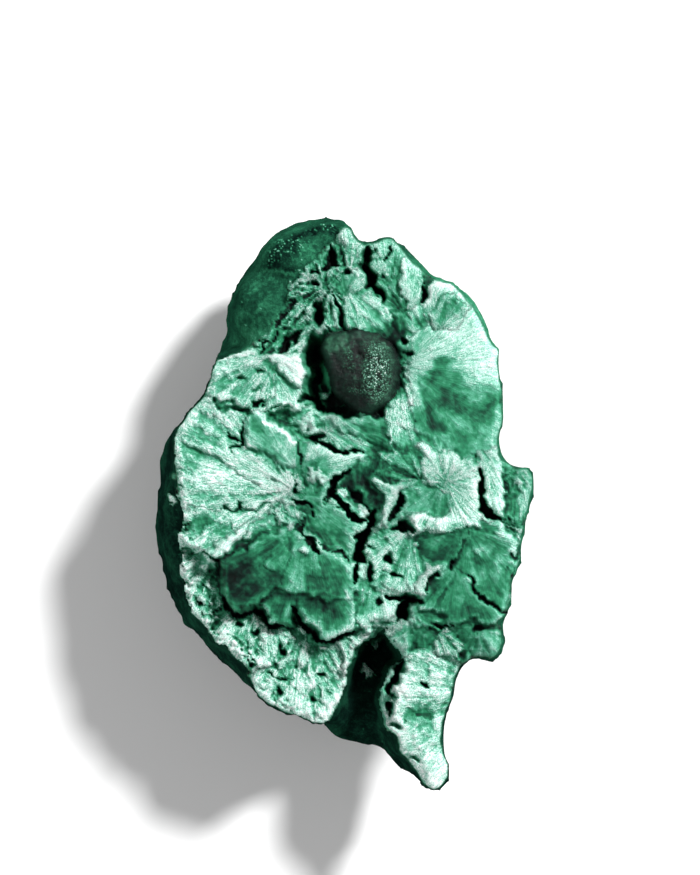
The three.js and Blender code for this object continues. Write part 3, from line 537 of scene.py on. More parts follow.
# %% Pits: middle, half-widths along x and y, depth
PITS = [
    (-2.3, 16.6, 0.34, 0.24, 1.6), (-2.0, 17.5, 0.3, 0.12, 1.0), (0.2, 17.5, 0.22, 0.26, 1.2),
    (-1.9, 14.2, 0.42, 0.75, 2.6), (4.6, 12.3, 0.26, 0.26, 1.0), (5.0, 11.3, 0.3, 0.24, 1.0),
    (-7.8, 9.4, 0.4, 0.12, 0.7), (-6.3, 9.8, 0.3, 0.12, 0.6), (-6.5, 8.6, 0.3, 0.12, 0.6),
    (-2.0, 4.9, 0.5, 0.4, 1.6), (3.6, -4.3, 0.36, 0.34, 1.6), (2.0, -5.0, 0.26, 0.6, 1.6),
    (3.8, -5.5, 0.5, 0.14, 1.0), (5.8, -16.4, 1.3, 1.15, 0.4),
    (10.2, -9.4, 0.34, 0.3, 0.6), (3.7, -14.2, 0.32, 0.4, 1.4), (3.9, -16.8, 0.36, 0.2, 1.2),
    (5.4, -19.6, 0.3, 0.2, 0.7),
    (-4.5, -11.2, 0.3, 0.24, 0.9), (-6.7, -9.8, 0.3, 0.24, 0.9), (-7.7, -9.0, 0.24, 0.24, 0.8),
    (-2.2, -14.8, 0.24, 0.2, 0.8), (-1.5, -13.0, 0.24, 0.2, 0.8), (-9.7, -9.5, 0.3, 0.2, 0.8),
    (-2.2, 11.4, 0.7, 1.3, 2.6), (-2.0, 9.2, 0.8, 1.0, 2.0), (0.2, 6.9, 1.2, 0.4, 1.4),
]

# %% Crumbs: middle, radius, tone
CRUMBS = [
    (-2.0, 2.3, 0.55, 0.95), (-1.5, 1.9, 0.4, 0.9), (-2.4, 1.8, 0.35, 0.9), (-2.7, 6.0, 0.6, 0.92),
    (-2.1, 5.6, 0.4, 0.9), (0.2, 0.8, 0.35, 0.95), (1.6, -0.7, 0.4, 0.95), (-7.0, -2.3, 0.4, 0.9),
    (-4.6, -1.2, 0.4, 0.92), (-4.0, -1.6, 0.35, 0.9), (-3.5, -0.9, 0.35, 0.95), (-13.0, 0.3, 0.4, 0.95),
    (-12.9, 2.0, 0.4, 0.6), (-1.2, 9.8, 0.5, 0.5), (-1.9, 9.0, 0.45, 0.45), (-1.6, 8.2, 0.4, 0.9),
    (1.9, 18.1, 0.3, 0.8), (-3.0, -3.5, 0.35, 0.8), (-3.8, 16.3, 0.3, 0.95), (12.0, -1.8, 0.35, 0.85),
    (13.2, 1.5, 0.4, 0.75),
    (2.4, -10.9, 0.45, 0.95), (1.8, -12.8, 0.5, 0.95), (5.2, -3.2, 0.3, 0.95), (0.8, -11.3, 0.4, 0.9),
]

# %% Crumbled strips: line, half-width, how badly
CRUMBLED = [
    ([(-13.0, 3.4), (-12.5, 1.0), (-12.2, -1.5), (-12.0, -4.0)], 0.6, 1.6),
    ([(-12.0, -4.0), (-11.2, -7.4), (-9.4, -9.8), (-7.0, -12.0)], 1.1, 1.0),
    ([(13.0, -1.2), (13.1, -3.4), (12.9, -5.2)], 0.5, 1.2),
    ([(-4.9, -0.8), (-3.4, -1.6)], 0.6, 1.0),
    ([(-3.8, 16.0), (-1.4, 14.6), (-3.4, 12.4)], 1.3, 0.25),
    ([(2.4, 19.2), (3.0, 17.2)], 0.8, 0.6),
    ([(-5.0, 6.6), (-2.4, 5.6), (-1.6, 4.8)], 0.7, 0.9),
    ([(1.0, -7.6), (3.2, -5.0), (3.6, -2.4)], 1.0, 0.45),
    ([(5.0, -11.6), (4.2, -15.0), (4.6, -18.6)], 0.7, 0.6),
    ([(-2.0, -16.4), (0.2, -13.6), (0.9, -10.8)], 0.5, 0.9),
    ([(5.0, -9.6), (8.0, -9.4)], 0.8, 0.5),
    ([(-6.6, 12.0), (-9.2, 10.2)], 0.5, 0.6),
]

# %% [markdown]
# ## Pale and dark passages
#
# Some changes of tone cross a plate without an edge: partly the stone's own colour, partly painted
# sheen and shade where the fibres turn towards the light and away from it. They are laid on as
# soft brush strokes: a line, its half-width, and how much paler or darker it makes the stone.

# %% Strokes: line, half-width, change of tone
STROKES = [
    ([(5.9, 15.2), (7.4, 16.4), (8.8, 16.2), (9.7, 15.1)], 0.35, 0.2),
    # Painted highlight where the right dome faces the light.
    ([(8.4, 13.0), (9.6, 12.0), (10.6, 10.0)], 1.2, 0.3),
    ([(9.2, 13.4), (11.0, 11.6), (11.4, 10.0)], 1.3, 0.12),
    ([(6.6, 13.2), (8.2, 12.6)], 0.4, 0.2),
    ([(5.2, 9.4), (6.4, 10.8), (7.4, 11.6)], 0.6, 0.2),
    ([(5.6, 8.8), (5.0, 7.2), (4.4, 5.4)], 0.35, 0.18),
    ([(7.4, 8.6), (9.4, 7.4), (11.4, 8.0)], 1.4, -0.15),
    ([(6.8, 9.8), (7.8, 10.4)], 0.7, -0.1),
    ([(6.6, 6.4), (6.8, 7.4)], 0.9, -0.2),
    ([(7.4, 5.6), (9.0, 4.4)], 0.8, -0.18),
    ([(6.0, 4.0), (9.0, 3.2), (11.6, 4.2)], 0.5, 0.14),
    ([(-10.6, 2.5), (-4.4, 1.4)], 0.8, 0.22),
    ([(-10.0, 4.7), (-5.0, 2.4)], 0.5, 0.12),
    ([(-9.5, -3.4), (-4.2, 0.2)], 0.5, 0.12),
    ([(-12.0, -0.6), (-8.4, -0.6)], 0.4, 0.1),
    ([(-11.4, 5.2), (-9.8, 4.5)], 0.8, -0.15),
    ([(-12.2, 3.4), (-11.2, 3.0)], 0.5, -0.13),
    ([(-11.4, -1.5), (-9.6, -1.7)], 0.6, -0.15),
    ([(-9.0, 0.7), (-6.0, 0.9)], 0.3, -0.08),
    ([(-4.6, 10.9), (-3.3, 9.6)], 0.7, 0.16),
    ([(-6.2, 10.9), (-4.6, 9.8), (-3.2, 8.5)], 0.28, -0.2),
    ([(-6.0, 9.4), (-4.2, 8.0)], 0.5, 0.1),
    ([(-6.6, 7.0), (-4.0, 5.0)], 0.22, 0.3),
    ([(-5.0, -4.0), (-4.2, -5.6)], 1.2, 0.08),
    ([(-8.2, -5.0), (-7.4, -6.6)], 1.3, -0.13),
    ([(-9.0, -4.4), (-8.4, -6.8)], 0.7, -0.14),
    ([(-4.0, -6.9), (-2.0, -7.4), (0.0, -8.2)], 0.9, -0.12),
    ([(-6.2, 12.2), (-4.6, 14.6), (-3.4, 17.4), (-2.0, 19.2)], 0.6, -0.15),
    ([(-2.4, 3.95), (-1.0, 3.75), (1.5, 3.3)], 0.35, 0.28),
    ([(1.1, -1.4), (1.4, -3.0), (0.8, -4.6)], 0.3, 0.2),
    ([(3.2, -1.0), (3.5, 0.5), (4.5, 1.3), (2.6, 1.7)], 0.25, 0.15),
    ([(9.4, 2.4), (9.9, 0.6), (9.4, -0.6), (8.0, -1.2), (5.8, -1.3)], 0.45, 0.1),
    ([(9.4, -1.7), (7.6, -2.0), (5.6, -1.9)], 0.3, -0.16),
    ([(7.7, 1.6), (8.2, 1.0)], 0.5, -0.14),
    ([(0.3, -7.0), (0.6, -8.4)], 0.35, 0.25),
    ([(0.3, -12.4), (-0.2, -14.2), (-1.6, -16.4)], 0.3, 0.25),
    ([(5.5, -12.6), (4.8, -15.0), (4.4, -17.2), (5.4, -18.8)], 0.45, 0.12),
    ([(7.2, -21.0), (6.4, -19.8)], 0.9, 0.08),
    ([(5.2, -15.9), (6.0, -16.4), (6.3, -17.2)], 0.8, -0.12),
    ([(7.1, -15.2), (7.2, -17.6)], 0.25, 0.12),
    ([(8.3, -12.6), (8.2, -14.4), (7.7, -15.8)], 0.3, -0.26),
    ([(-5.6, 15.0), (-7.4, 12.6)], 1.4, 0.1),
    ([(-7.6, 17.0), (-6.8, 16.2)], 0.5, 0.16),
    ([(-1.8, 21.2), (-3.0, 20.8)], 0.9, -0.14),
    ([(-4.4, 19.8), (-6.0, 18.6)], 1.0, -0.12),
    ([(12.0, 4.0), (11.4, 1.4), (11.6, -0.4)], 0.5, 0.14),
]

# %% Strokes on the dark skin: patches of its own, and some painted sheen
SKIN_STROKES = [
    ([(-0.6, 21.4), (-2.4, 21.0)], 0.6, -0.2),
    ([(-3.6, 20.0), (-6.0, 18.8)], 1.0, -0.19),
    ([(-7.4, 17.2), (-8.6, 14.6)], 0.8, -0.12),
    # Painted sheen on the skin.
    ([(-7.6, 16.9), (-7.0, 16.4)], 0.5, 0.15),
    ([(-1.6, 19.4), (-2.8, 18.6)], 0.8, 0.06),
    ([(-2.4, 20.4), (-3.4, 18.4)], 0.5, 0.04),
    ([(-3.6, 15.4), (-7.6, 12.4)], 1.2, 0.06),
    ([(2.7, -16.6), (4.1, -19.2), (5.6, -21.0)], 0.5, 0.12),
    ([(13.0, 2.0), (13.2, 0.4)], 1.3, 0.25),
    ([(-3.6, 17.2), (-5.4, 17.6), (-7.0, 17.8)], 0.2, 0.14),
    ([(-3.6, 17.6), (-5.4, 18.0), (-7.0, 18.2)], 0.25, -0.12),
    ([(-5.4, 13.0), (-8.2, 11.6)], 0.8, 0.12),
    ([(-6.0, 11.8), (-9.6, 10.6)], 0.5, 0.2),
]

# %% [markdown]
# ## One height for every point of the break
#
# The break is worked out as a relief: every place seen from above gets one height, one tone and
# the direction of its fibres. A relief can't hold an undercut, but each effect is a short
# formula, and the effects go on one after another, from the plates down to the crumbs. What is
# known about the face so far travels from step to step in one dictionary.
#
# Nothing on a broken stone is straight. So each place is first swayed by noise: most for the
# plates and cracks, less for the skin, and least for the fibres.

# %% Sway the places
WANDER = 0.35
FRAY = 0.08
SKIN_WANDER = 0.25
FIBRE_WANDER = 0.05


def sway(x, y):
    """The places as the plates and cracks, the skin, and the fibres see them."""
    wx = x + WANDER * rough(x, y, size=1.5, seed=11) + FRAY * noise(x, y, size=0.35, seed=15)
    wy = y + WANDER * rough(x, y, size=1.5, seed=31) + FRAY * noise(x, y, size=0.35, seed=35)
    sx = x + SKIN_WANDER * noise(x, y, size=2.2, seed=13)
    sy = y + SKIN_WANDER * noise(x, y, size=2.2, seed=33)
    fx = x + FIBRE_WANDER * rough(x, y, size=0.9, seed=12)
    fy = y + FIBRE_WANDER * rough(x, y, size=0.9, seed=32)
    return (wx, wy), (sx, sy), (fx, fy)


def places_near(x, y, line, margin):
    """Which places lie in the line's box, widened by the margin."""
    xs, ys = np.transpose(line)
    in_x = (x > xs.min() - margin) & (x < xs.max() + margin)
    in_y = (y > ys.min() - margin) & (y < ys.max() + margin)
    return np.nonzero(in_x & in_y)[0]


def soft_line(x, y, line, width):
    """1 on the line, fading to 0 over about its half-width."""
    return np.exp(-(distance_to_line(x, y, line) / width) ** 2)


# %% [markdown]
# ## Plates, one over the other
#
# The plates overlap like roof tiles, and the highest one wins at each point. Outside its outline
# a plate falls away steeply. The fibres of a plate run out from one point, so each place gets
# its distance along the fan and its angle across it. The angle is counted from the plate's own
# middle, because a jump in it would show as a seam.

# %% Lay the plates
CLIFF = 3.0  # how steeply a plate falls away outside its outline
FILL_REACH = 0.45  # how far a plate's height spreads into the gaps beside it
FAN_WIDTH = 5.0
PLATE_MARGIN = 1.6
DISH_WIDTH = 1.6
NUMBER_APART = 37.0  # keeps the fibres of neighbouring plates different


def plate_height(p, x, y):
    """Height of a plate's plane, and the depth inside its outline."""
    inside = depth_inside(x, y, p["outline"])
    cx, cy = np.mean(p["outline"], axis=0)
    height = p["height"] + p["slope"][0] * (x - cx) + p["slope"][1] * (y - cy)
    return height - p["dish"] * (ramp(inside, 0, DISH_WIDTH) - 0.5), inside


def fan_angle(p, dx, dy):
    """Angle of a place seen from the fan's start, without a jump anywhere on the plate."""
    xs, ys = np.transpose(p["outline"])
    towards = np.arctan2(ys.mean() - p["start"][1], xs.mean() - p["start"][0])
    turn = np.arctan2(dy, dx) - towards
    return towards + np.arctan2(np.sin(turn), np.cos(turn))


def lay_plates(wx, wy, fx, fy):
    """The highest plate at each place, and the weighted sums of the plates close to it."""
    face = {"height": np.full(wx.shape, NOWHERE), "tone": np.full(wx.shape, 0.45),
            "grain": np.full(wx.shape, 1.0), "bundle": np.full(wx.shape, 0.9),
            "rim": np.zeros(wx.shape), "along": np.hypot(fx + 1, fy - 1),
            "across": np.arctan2(fy - 1, fx + 1) * FAN_WIDTH, "near_heights": np.zeros(wx.shape),
            "near_tones": np.zeros(wx.shape), "nearness": np.full(wx.shape, 1e-9)}
    for number, p in enumerate(PLATES):
        at = places_near(wx, wy, p["outline"], PLATE_MARGIN)
        lie, inside = plate_height(p, wx[at], wy[at])
        xs, ys = np.transpose(p["outline"])
        reach = np.hypot(xs - p["start"][0], ys - p["start"][1]).max()
        dx, dy = fx[at] - p["start"][0], fy[at] - p["start"][1]
        angle = fan_angle(p, dx, dy)
        out = np.clip(np.hypot(dx, dy) / reach, 0, 1)
        own_tone = p["tone"] * (1 - out) + p["far_tone"] * out
        closeness = np.exp(-(np.maximum(-inside, 0) / FILL_REACH) ** 2)
        face["near_heights"][at] += closeness * lie
        face["near_tones"][at] += closeness * own_tone
        face["nearness"][at] += closeness
        height = lie - CLIFF * np.maximum(-inside, 0) - 0.1 * ramp(-inside, -0.25, 0.05)
        wins = height > face["height"][at]
        at, height, inside = at[wins], height[wins], inside[wins]
        face["along"][at] = np.hypot(dx, dy)[wins]
        face["across"][at] = angle[wins] * FAN_WIDTH + NUMBER_APART * number
        face["height"][at] = height
        face["tone"][at] = own_tone[wins]
        face["rim"][at] = p["rim"] * ramp(inside, 0.3, 0.06) * ramp(inside, -0.2, 0.0)
        face["grain"][at] = p["grain"]
        face["bundle"][at] = p["bundle"]
    return face


# %% Fill the ground between the plates
BREAK_DROP = 6.0  # how steeply everything falls away outside the break
# Tone of the ground far from any plate, dark as painted shade in the gaps.
SHADED_GAP_TONE = 0.26


def fill_ground(face, wx, wy, inside_break):
    ground = ground_height(wx, wy)
    between = face["near_heights"] / face["nearness"]
    filled = ramp(face["nearness"], 0.02, 0.3) * ramp(between - ground, 2.6, 1.4)
    ground = ground * (1 - filled) + between * filled - 0.1 + 0.2 * rough(wx, wy, size=1.2, seed=51)
    face["height"] -= BREAK_DROP * np.maximum(-inside_break, 0)
    ground -= BREAK_DROP * np.maximum(-inside_break, 0)
    stands_out = face["height"] - ground
    broken_rim = ramp(noise(wx, wy, size=0.8, seed=61), -0.5, 0.3)
    # Paler broken edges, partly a painted highlight, only where a plate's edge stands proud of the ground.
    face["tone"] += face["rim"] * ramp(stands_out, 0.1, 0.6) * broken_rim
    # Low places between plates take the near plates' tone, made a little darker, and far from any plate the
    # dark tone: painted shade in the gaps.
    low = ramp(stands_out, 0.05, -0.1)
    gap_tone_and_shade = face["near_tones"] / face["nearness"] * filled + SHADED_GAP_TONE * (1 - filled) - 0.03
    face["tone"] = face["tone"] * (1 - low) + gap_tone_and_shade * low
    face["height"] = np.maximum(face["height"], ground)


# %% [markdown]
# ## Fibres, splinters and grit
#
# Fibres are ridges that change quickly across the fan and slowly along it, so the noise is
# sampled by the fan's own two measures. Some bundles of fibres broke off shorter than others,
# which gives small steps. Where the stone crumbled, small chips lie in rough rings round its
# middle.

# %% Roughen the plates
FIBRE_HEIGHT = 0.04
SPLINTER_HEIGHT = 0.16
CHIP_HEIGHT = 0.35
GROOVE_DEPTH = 0.45
GROOVE_SHADE = 0.28
CHIP_SIZE = (0.4, 0.75)


def grit(face, wx, wy):
    """How badly the stone crumbled at each place."""
    crumbled = np.maximum(face["grain"] - 1.3, 0) * 0.5
    for line, width, amount in CRUMBLED:
        crumbled += amount * soft_line(wx, wy, line, width)
    return crumbled * ramp(rough(wx, wy, size=1.1, seed=68, octaves=2), -0.5, 0.3)


def roughen(face, x, y, wx, wy):
    """Adds fibres, splinters and chips, and gives back the chips for the cracks to follow."""
    grain, across, along = face["grain"], face["across"], face["along"]
    fibre = noise(across / 0.5, along / 4.5, seed=71) + 0.6 * noise(across / 0.26, along / 3.0, seed=72)
    wavy = across / face["bundle"] + 0.2 * rough(wx, wy, seed=62, octaves=2)
    splinter, splinter_number, _ = facets(wavy, along / 2.2, 63)
    round_the_stone = np.arctan2(wy + 1, wx + 2) * 11
    from_middle = np.hypot(wy + 1, wx + 2)
    wavy = from_middle / CHIP_SIZE[0] + 0.3 * noise(wx, wy, seed=66)
    chip, chip_number, chip_depth = facets(wavy, round_the_stone / CHIP_SIZE[1], 67)
    patch = rough(wx, wy, size=1.3, seed=76)
    crumbled = grit(face, wx, wy)
    groove = ramp(chip_depth, 0.25, 0.0) * ramp(noise(wx, wy, size=0.5, seed=69), -0.1, 0.3)
    uneven = FIBRE_HEIGHT * fibre + SPLINTER_HEIGHT * splinter + 0.05 * rough(wx, wy, size=0.6, seed=74)
    face["height"] += grain * uneven
    gritty = CHIP_HEIGHT * chip + 0.12 * rough(wx, wy, size=0.3, seed=75, octaves=2) - GROOVE_DEPTH * groove
    face["height"] += crumbled * gritty
    face["tone"] += (0.01 + 0.06 * grain) * fibre + 0.05 * grain * splinter_number + 0.13 * patch
    # Chips get tones of their own, and the grooves between them painted shade.
    face["tone"] += crumbled * (0.16 * chip_number - GROOVE_SHADE * groove)
    face["tone"] += (0.04 + 0.04 * grain) * rough(x, y, size=0.3, seed=78, octaves=2)
    for line, width, change in STROKES:
        face["tone"] += change * soft_line(wx, wy, line, width)
    return chip


# %% [markdown]
# ## The skin round the break
#
# At its edge the break rounds off and meets the old dark skin. The skin's flank is a quarter
# circle from the outline inwards, and where a lobe is higher, the lobe wins. In the gap beside
# the prong the flank drops away, so the gap is deep and dark. The skin is nearly black-green,
# with faint streaks that fan out over the thick end, and patches of tiny crystals whose glints
# are painted on as bright specks.

# %% Heights of the skin's flank
SHOULDER_FOOT = 9.2
SHOULDER_RISE = 5.9
SHOULDER_WIDTH = 2.6
EDGE_ROUND = 1.0
GAP = [(1.9, -11.4), (2.4, -15.0), (2.4, -19.6)]
GAP_DEPTH = 8
GAP_WIDTH = 2.1


def rounded(depth, width):
    """A quarter circle: 0 at the edge, 1 from the width inwards."""
    return np.sqrt(1 - (1 - np.clip(depth / width, 0, 1)) ** 2)


def shoulder_height(x, y):
    """The rounded flank of the skin, which drops away in the gap beside the prong."""
    rise = SHOULDER_RISE - 2.9 * ramp(y, 8.5, 12) - 1.9 * ramp(y, -2.5, -7)
    flank = SHOULDER_FOOT + rise * rounded(depth_inside(x, y, OUTLINE), SHOULDER_WIDTH)
    return flank - GAP_DEPTH * np.exp(-(distance_to_line(x, y, GAP) / GAP_WIDTH) ** 4)


# %% Tone of the skin, with painted glints in patches
STREAKS_FROM = (-1.3, 16.3)
GLINT_LINES = [([(-3.8, 19.9), (-6.0, 18.8)], 1.0), ([(-0.8, 21.2), (-2.2, 21.2)], 0.6)]
CRYSTAL = 0.13


def tone_of_skin(x, y, wx, wy):
    from_x, from_y = STREAKS_FROM
    turned = np.arctan2(from_y - wy, from_x - wx) * 9
    streaky = noise(turned, np.hypot(wx - from_x, wy - from_y) / 3, seed=85)
    tone = 0.13 + 0.16 * ramp(wy, 9, 12) + 0.05 * streaky + 0.06 * rough(wx, wy, size=0.9, seed=79)
    for line, width, change in SKIN_STROKES:
        tone += change * soft_line(wx, wy, line, width)
    tone += 0.06 * rough(x, y, size=0.3, seed=88, octaves=2)
    # Painted glints of tiny crystals: bright specks in two patches and a few stray ones.
    glint_patches = sum(soft_line(x, y, line, width) for line, width in GLINT_LINES)
    tone += 0.6 * glint_patches * ramp(noise(x, y, size=CRYSTAL, seed=89), 0.3, 0.6)
    stray_glints = ramp(noise(x, y, size=CRYSTAL, seed=86), 0.55, 0.8)
    return tone + 0.5 * stray_glints * ramp(noise(x, y, size=0.9, seed=87), 0.1, 0.6)


# %% Wrap the skin round the break
BREAK_KIND, SKIN_KIND, NODULE_KIND = 0.0, 1.0, 2.0


def wrap_in_skin(face, x, y, wx, wy, sx, sy, inside_break):
    edge_depth = np.minimum(depth_inside(x, y, OUTLINE) + 0.15, depth_inside(sx, sy, BREAK) + 0.1)
    face["height"] -= EDGE_ROUND * (1 - rounded(edge_depth, EDGE_ROUND))
    shoulder = shoulder_height(sx, sy) - 8 * ramp(inside_break, 0.05, 0.5)
    is_skin = (inside_break < 0) | (shoulder > face["height"])
    face["height"] = np.maximum(face["height"], shoulder)
    for lobe in LOBES:
        height = lobe_height(sx, sy, lobe)
        is_skin |= height > face["height"]
        face["height"] = np.maximum(height, face["height"])
    face["kind"] = np.where(is_skin, SKIN_KIND, BREAK_KIND)
    face["tone"] = np.where(is_skin, tone_of_skin(x, y, wx, wy), face["tone"])


# %% [markdown]
# ## Cracks, pits, crumbs and the nodule
#
# The last cuts go through everything: cracks with ragged sides, and small pits. Crumbs lie on
# top of what is left. The nodule comes last, because nothing covers it. It is nearly black, with
# painted glints on its crust of tiny crystals and painted shade on its lower left and in its fold.

# %% Cut the cracks and pits
CRACK_MARGIN = 1.2
CRACK_DEPTH_SHARE = 0.75
# Cracks and pits are darkened as painted shade, more the deeper they are.
CUT_SHADE = 0.45


def cut_cracks_and_pits(face, wx, wy, chip):
    for line, width, depth in CRACKS:
        at = places_near(wx, wy, line, CRACK_MARGIN)
        distance, place = nearest_on_line(wx[at], wy[at], line)
        taper = np.sin(np.pi * np.clip(place, 0.01, 0.99)) ** 0.8
        uneven = 0.5 + 0.9 * ramp(noise(wx[at], wy[at], size=0.9, seed=81), -0.5, 0.5)
        width_here = width * taper * uneven
        angular = np.maximum(distance / np.maximum(width_here, 0.02) + 0.35 * chip[at], 0)
        cut = np.exp(-angular**6)
        face["height"][at] -= CRACK_DEPTH_SHARE * depth * cut
        face["tone"][at] -= CUT_SHADE * min(depth, 1.0) * cut
    for px, py, rx, ry, depth in PITS:
        cut = np.exp(-(((wx - px) / rx) ** 2 + ((wy - py) / ry) ** 2) ** 2)
        face["height"] -= depth * cut
        face["tone"] -= CUT_SHADE * min(depth, 1.0) * cut


# %% Lay the crumbs
def lay_crumbs(face, x, y, wx, wy):
    ragged = rough(x, y, size=0.45, seed=83)
    for px, py, radius, crumb_tone in CRUMBS:
        near = np.hypot(wx - px, wy - py) / radius + 0.45 * ragged
        lump = np.sqrt(np.maximum(1 - near**2, 0))
        covers = ramp(lump, 0, 0.5)
        face["height"] += 0.9 * radius * lump
        face["kind"] = np.where(lump > 0.2, BREAK_KIND, face["kind"])
        face["tone"] = face["tone"] * (1 - covers) + (0.8 * crumb_tone + 0.2 * ragged) * covers


# %% Seat the nodule
CRUST_CRYSTAL = 0.32
FOLD_AT = 1.15


def seat_nodule(face, x, y, wx, wy, sx, sy):
    depth = depth_inside(sx, sy, NODULE_OUTLINE)
    ball = np.where(depth > 0, NODULE_FOOT + NODULE_RISE * rounded(depth, NODULE_ROUND), NOWHERE)
    for (cx, cy, cz), (slope_x, slope_y) in NODULE_FACES:
        ball = np.minimum(ball, cz + slope_x * (x - cx) + slope_y * (y - cy))
    druse, druse_number, _ = facets(x / CRUST_CRYSTAL, y / CRUST_CRYSTAL, 96)
    ball += 0.2 * rough(wx, wy, size=0.9, seed=92) + 0.1 * druse
    fold = np.exp(-((wx - FOLD_AT) / 0.3) ** 2) * ramp(np.abs(wy - 10.4), 2.4, 1.5)
    ball -= 0.25 * fold
    wins = ball > face["height"]
    face["height"] = np.where(wins, ball, face["height"])
    # Painted glints on the crust, most on the right half where the light falls.
    crust_glints = np.exp(-(((x - 2.5) / 1.15) ** 2 + ((y - 10.1) / 2.3) ** 2) ** 1.5)
    crust_glints += 0.5 * np.exp(-(((x - 0.5) / 0.4) ** 2 + ((y - 10.8) / 1.3) ** 2))
    crust_glints += 0.6 * np.exp(-(((x - 0.8) / 0.9) ** 2 + ((y - 8.6) / 0.4) ** 2))
    # Nearly black, plus the painted glints, painted shade in the fold, and the crystals' own tones.
    tone = 0.12 + 0.2 * crust_glints - 0.08 * fold + (0.04 + 0.08 * crust_glints) * druse_number
    # Greener on the top-left facet, and paler towards the right as painted light.
    tone += 0.15 * ramp(np.hypot(x + 0.5, y - 12.3), 1.6, 0.6) + 0.05 * ramp(x, 0.5, 2.0)
    # Painted shade on the lower left, turned away from the light.
    tone -= 0.08 * ramp(x + 0.7 * y, 7.6, 6.4)
    tone += 0.09 * rough(wx, wy, size=0.5, seed=93)
    face["tone"] = np.where(wins, tone, face["tone"])
    # Stronger speckle where the glints are painted.
    face["grain"] = np.where(wins, 0.1 + 1.2 * crust_glints, face["grain"])
    face["kind"] = np.where(wins, NODULE_KIND, face["kind"])


# %% All steps in order
def relief(x, y):
    """The face's height in millimetres, tone, kind and fibres, for points seen from above."""
    (wx, wy), (sx, sy), (fx, fy) = sway(x, y)
    inside_break = depth_inside(wx, wy, BREAK)
    face = lay_plates(wx, wy, fx, fy)
    fill_ground(face, wx, wy, inside_break)
    chip = roughen(face, x, y, wx, wy)
    wrap_in_skin(face, x, y, wx, wy, sx, sy, inside_break)
    cut_cracks_and_pits(face, wx, wy, chip)
    lay_crumbs(face, x, y, wx, wy)
    seat_nodule(face, x, y, wx, wy, sx, sy)
    face["height"] = np.clip(face["height"], LOWEST_CUT, HIGHEST)
    face["tone"] = np.clip(face["tone"], 0, 1)
    return face


# %% [markdown]
# ## The blank
#
# A carver starts from a blank. Here it is the solid from the frame, cut off level, joined to a
# slab with the stone's outline. A voxel remesh welds the two into one skin of small even
# squares. Each square of the slab's top is then divided in nine, so that the break gets finer
# squares than the back.

# %% Cut the copy of the solid level, and add the slab
VOXEL = 0.33
SLAB_FOOT = 0.42 * TOP
SLAB_DRAW_IN = 0.94

mesh = bpy.data.meshes.new("malachite_stone")
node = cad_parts["malachite"]
blank = bmesh.new()
blank.from_mesh(node.data)
to_middle = Matrix.Translation((-middle.x, -middle.y, -node_low.z))
bmesh.ops.transform(blank, matrix=Matrix.Scale(1 / MM, 4) @ to_middle, verts=blank.verts)
bmesh.ops.remove_doubles(blank, verts=blank.verts, dist=1e-3)
cut = bmesh.ops.bisect_plane(blank, geom=blank.verts[:] + blank.edges[:] + blank.faces[:],
                             plane_co=(0, 0, SLAB - 0.5), plane_no=(0, 0, 1), clear_outer=True)
cut_edges = [e for e in cut["geom_cut"] if isinstance(e, bmesh.types.BMEdge)]
bmesh.ops.holes_fill(blank, edges=cut_edges, sides=0)
corners = [blank.verts.new((x, y, SLAB)) for x, y in OUTLINE]
lid = blank.faces.new(corners)
foot = bmesh.ops.extrude_face_region(blank, geom=[lid])
for v in foot["geom"]:
    if isinstance(v, bmesh.types.BMVert):
        v.co = Vector((v.co.x * SLAB_DRAW_IN, v.co.y * SLAB_DRAW_IN, SLAB_FOOT))
bmesh.ops.recalc_face_normals(blank, faces=blank.faces)
blank.to_mesh(mesh)
blank.free()
stone = bpy.data.objects.new("malachite_stone", mesh)
bpy.context.scene.collection.objects.link(stone)

# %% Weld both into one even skin
weld = stone.modifiers.new("weld", "REMESH")
weld.mode = "VOXEL"
weld.voxel_size = VOXEL
welded = bpy.data.meshes.new_from_object(stone.evaluated_get(bpy.context.evaluated_depsgraph_get()))
stone.modifiers.clear()
stone.data = welded
print("welded blank:", len(welded.polygons), "squares")

# %% Divide the squares of the top once more
fine = bmesh.new()
fine.from_mesh(welded)
level = [f for f in fine.faces if all(v.co.z > SLAB - 0.35 for v in f.verts)]
top_edges = list({e for f in level for e in f.edges})
bmesh.ops.subdivide_edges(fine, edges=top_edges, cuts=2, use_grid_fill=True)
bmesh.ops.triangulate(fine, faces=fine.faces)
fine.to_mesh(welded)
fine.free()
print("with the fine top:", len(welded.polygons), "triangles")


# %% Carve: stretch every column of the blank to the relief's height
STRETCH = 1.016  # the later steps draw the stone in by about this much, then stretch it back


def points_of(data):
    flat = np.empty(3 * len(data.vertices))
    data.vertices.foreach_get("co", flat)
    return flat.reshape(-1, 3)


points = points_of(welded)
face = relief(points[:, 0] * STRETCH, points[:, 1] * STRETCH)
height, tone, kind, grain = face["height"], face["tone"], face["kind"], face["grain"]
share = np.clip((points[:, 2] - ANCHOR) / (SLAB - ANCHOR), 0, None)
points[:, 2] = np.where(points[:, 2] > ANCHOR, ANCHOR + share * (height - ANCHOR), points[:, 2])
welded.vertices.foreach_set("co", points.ravel())
on_top = ramp(share, 0.85, 0.97)
print("heights run from", round(points[:, 2].min(), 2), "to", round(points[:, 2].max(), 2), "mm")

# %% [markdown]
# ## Sculpting the back and sides
#
# The slab and the lobes meet in hard shelves. Real botryoidal skin is smooth at that scale, so
# the points below the break are relaxed: each moves towards the mean of its neighbours. Then
# they are pushed in along their normals, least in the middle of each small round swelling, so
# that young lobes stand out on the big ones. At the end whatever would reach below the resting
# face is pressed up to it softly, and the stone is stretched back to the outline's full length
# and width.

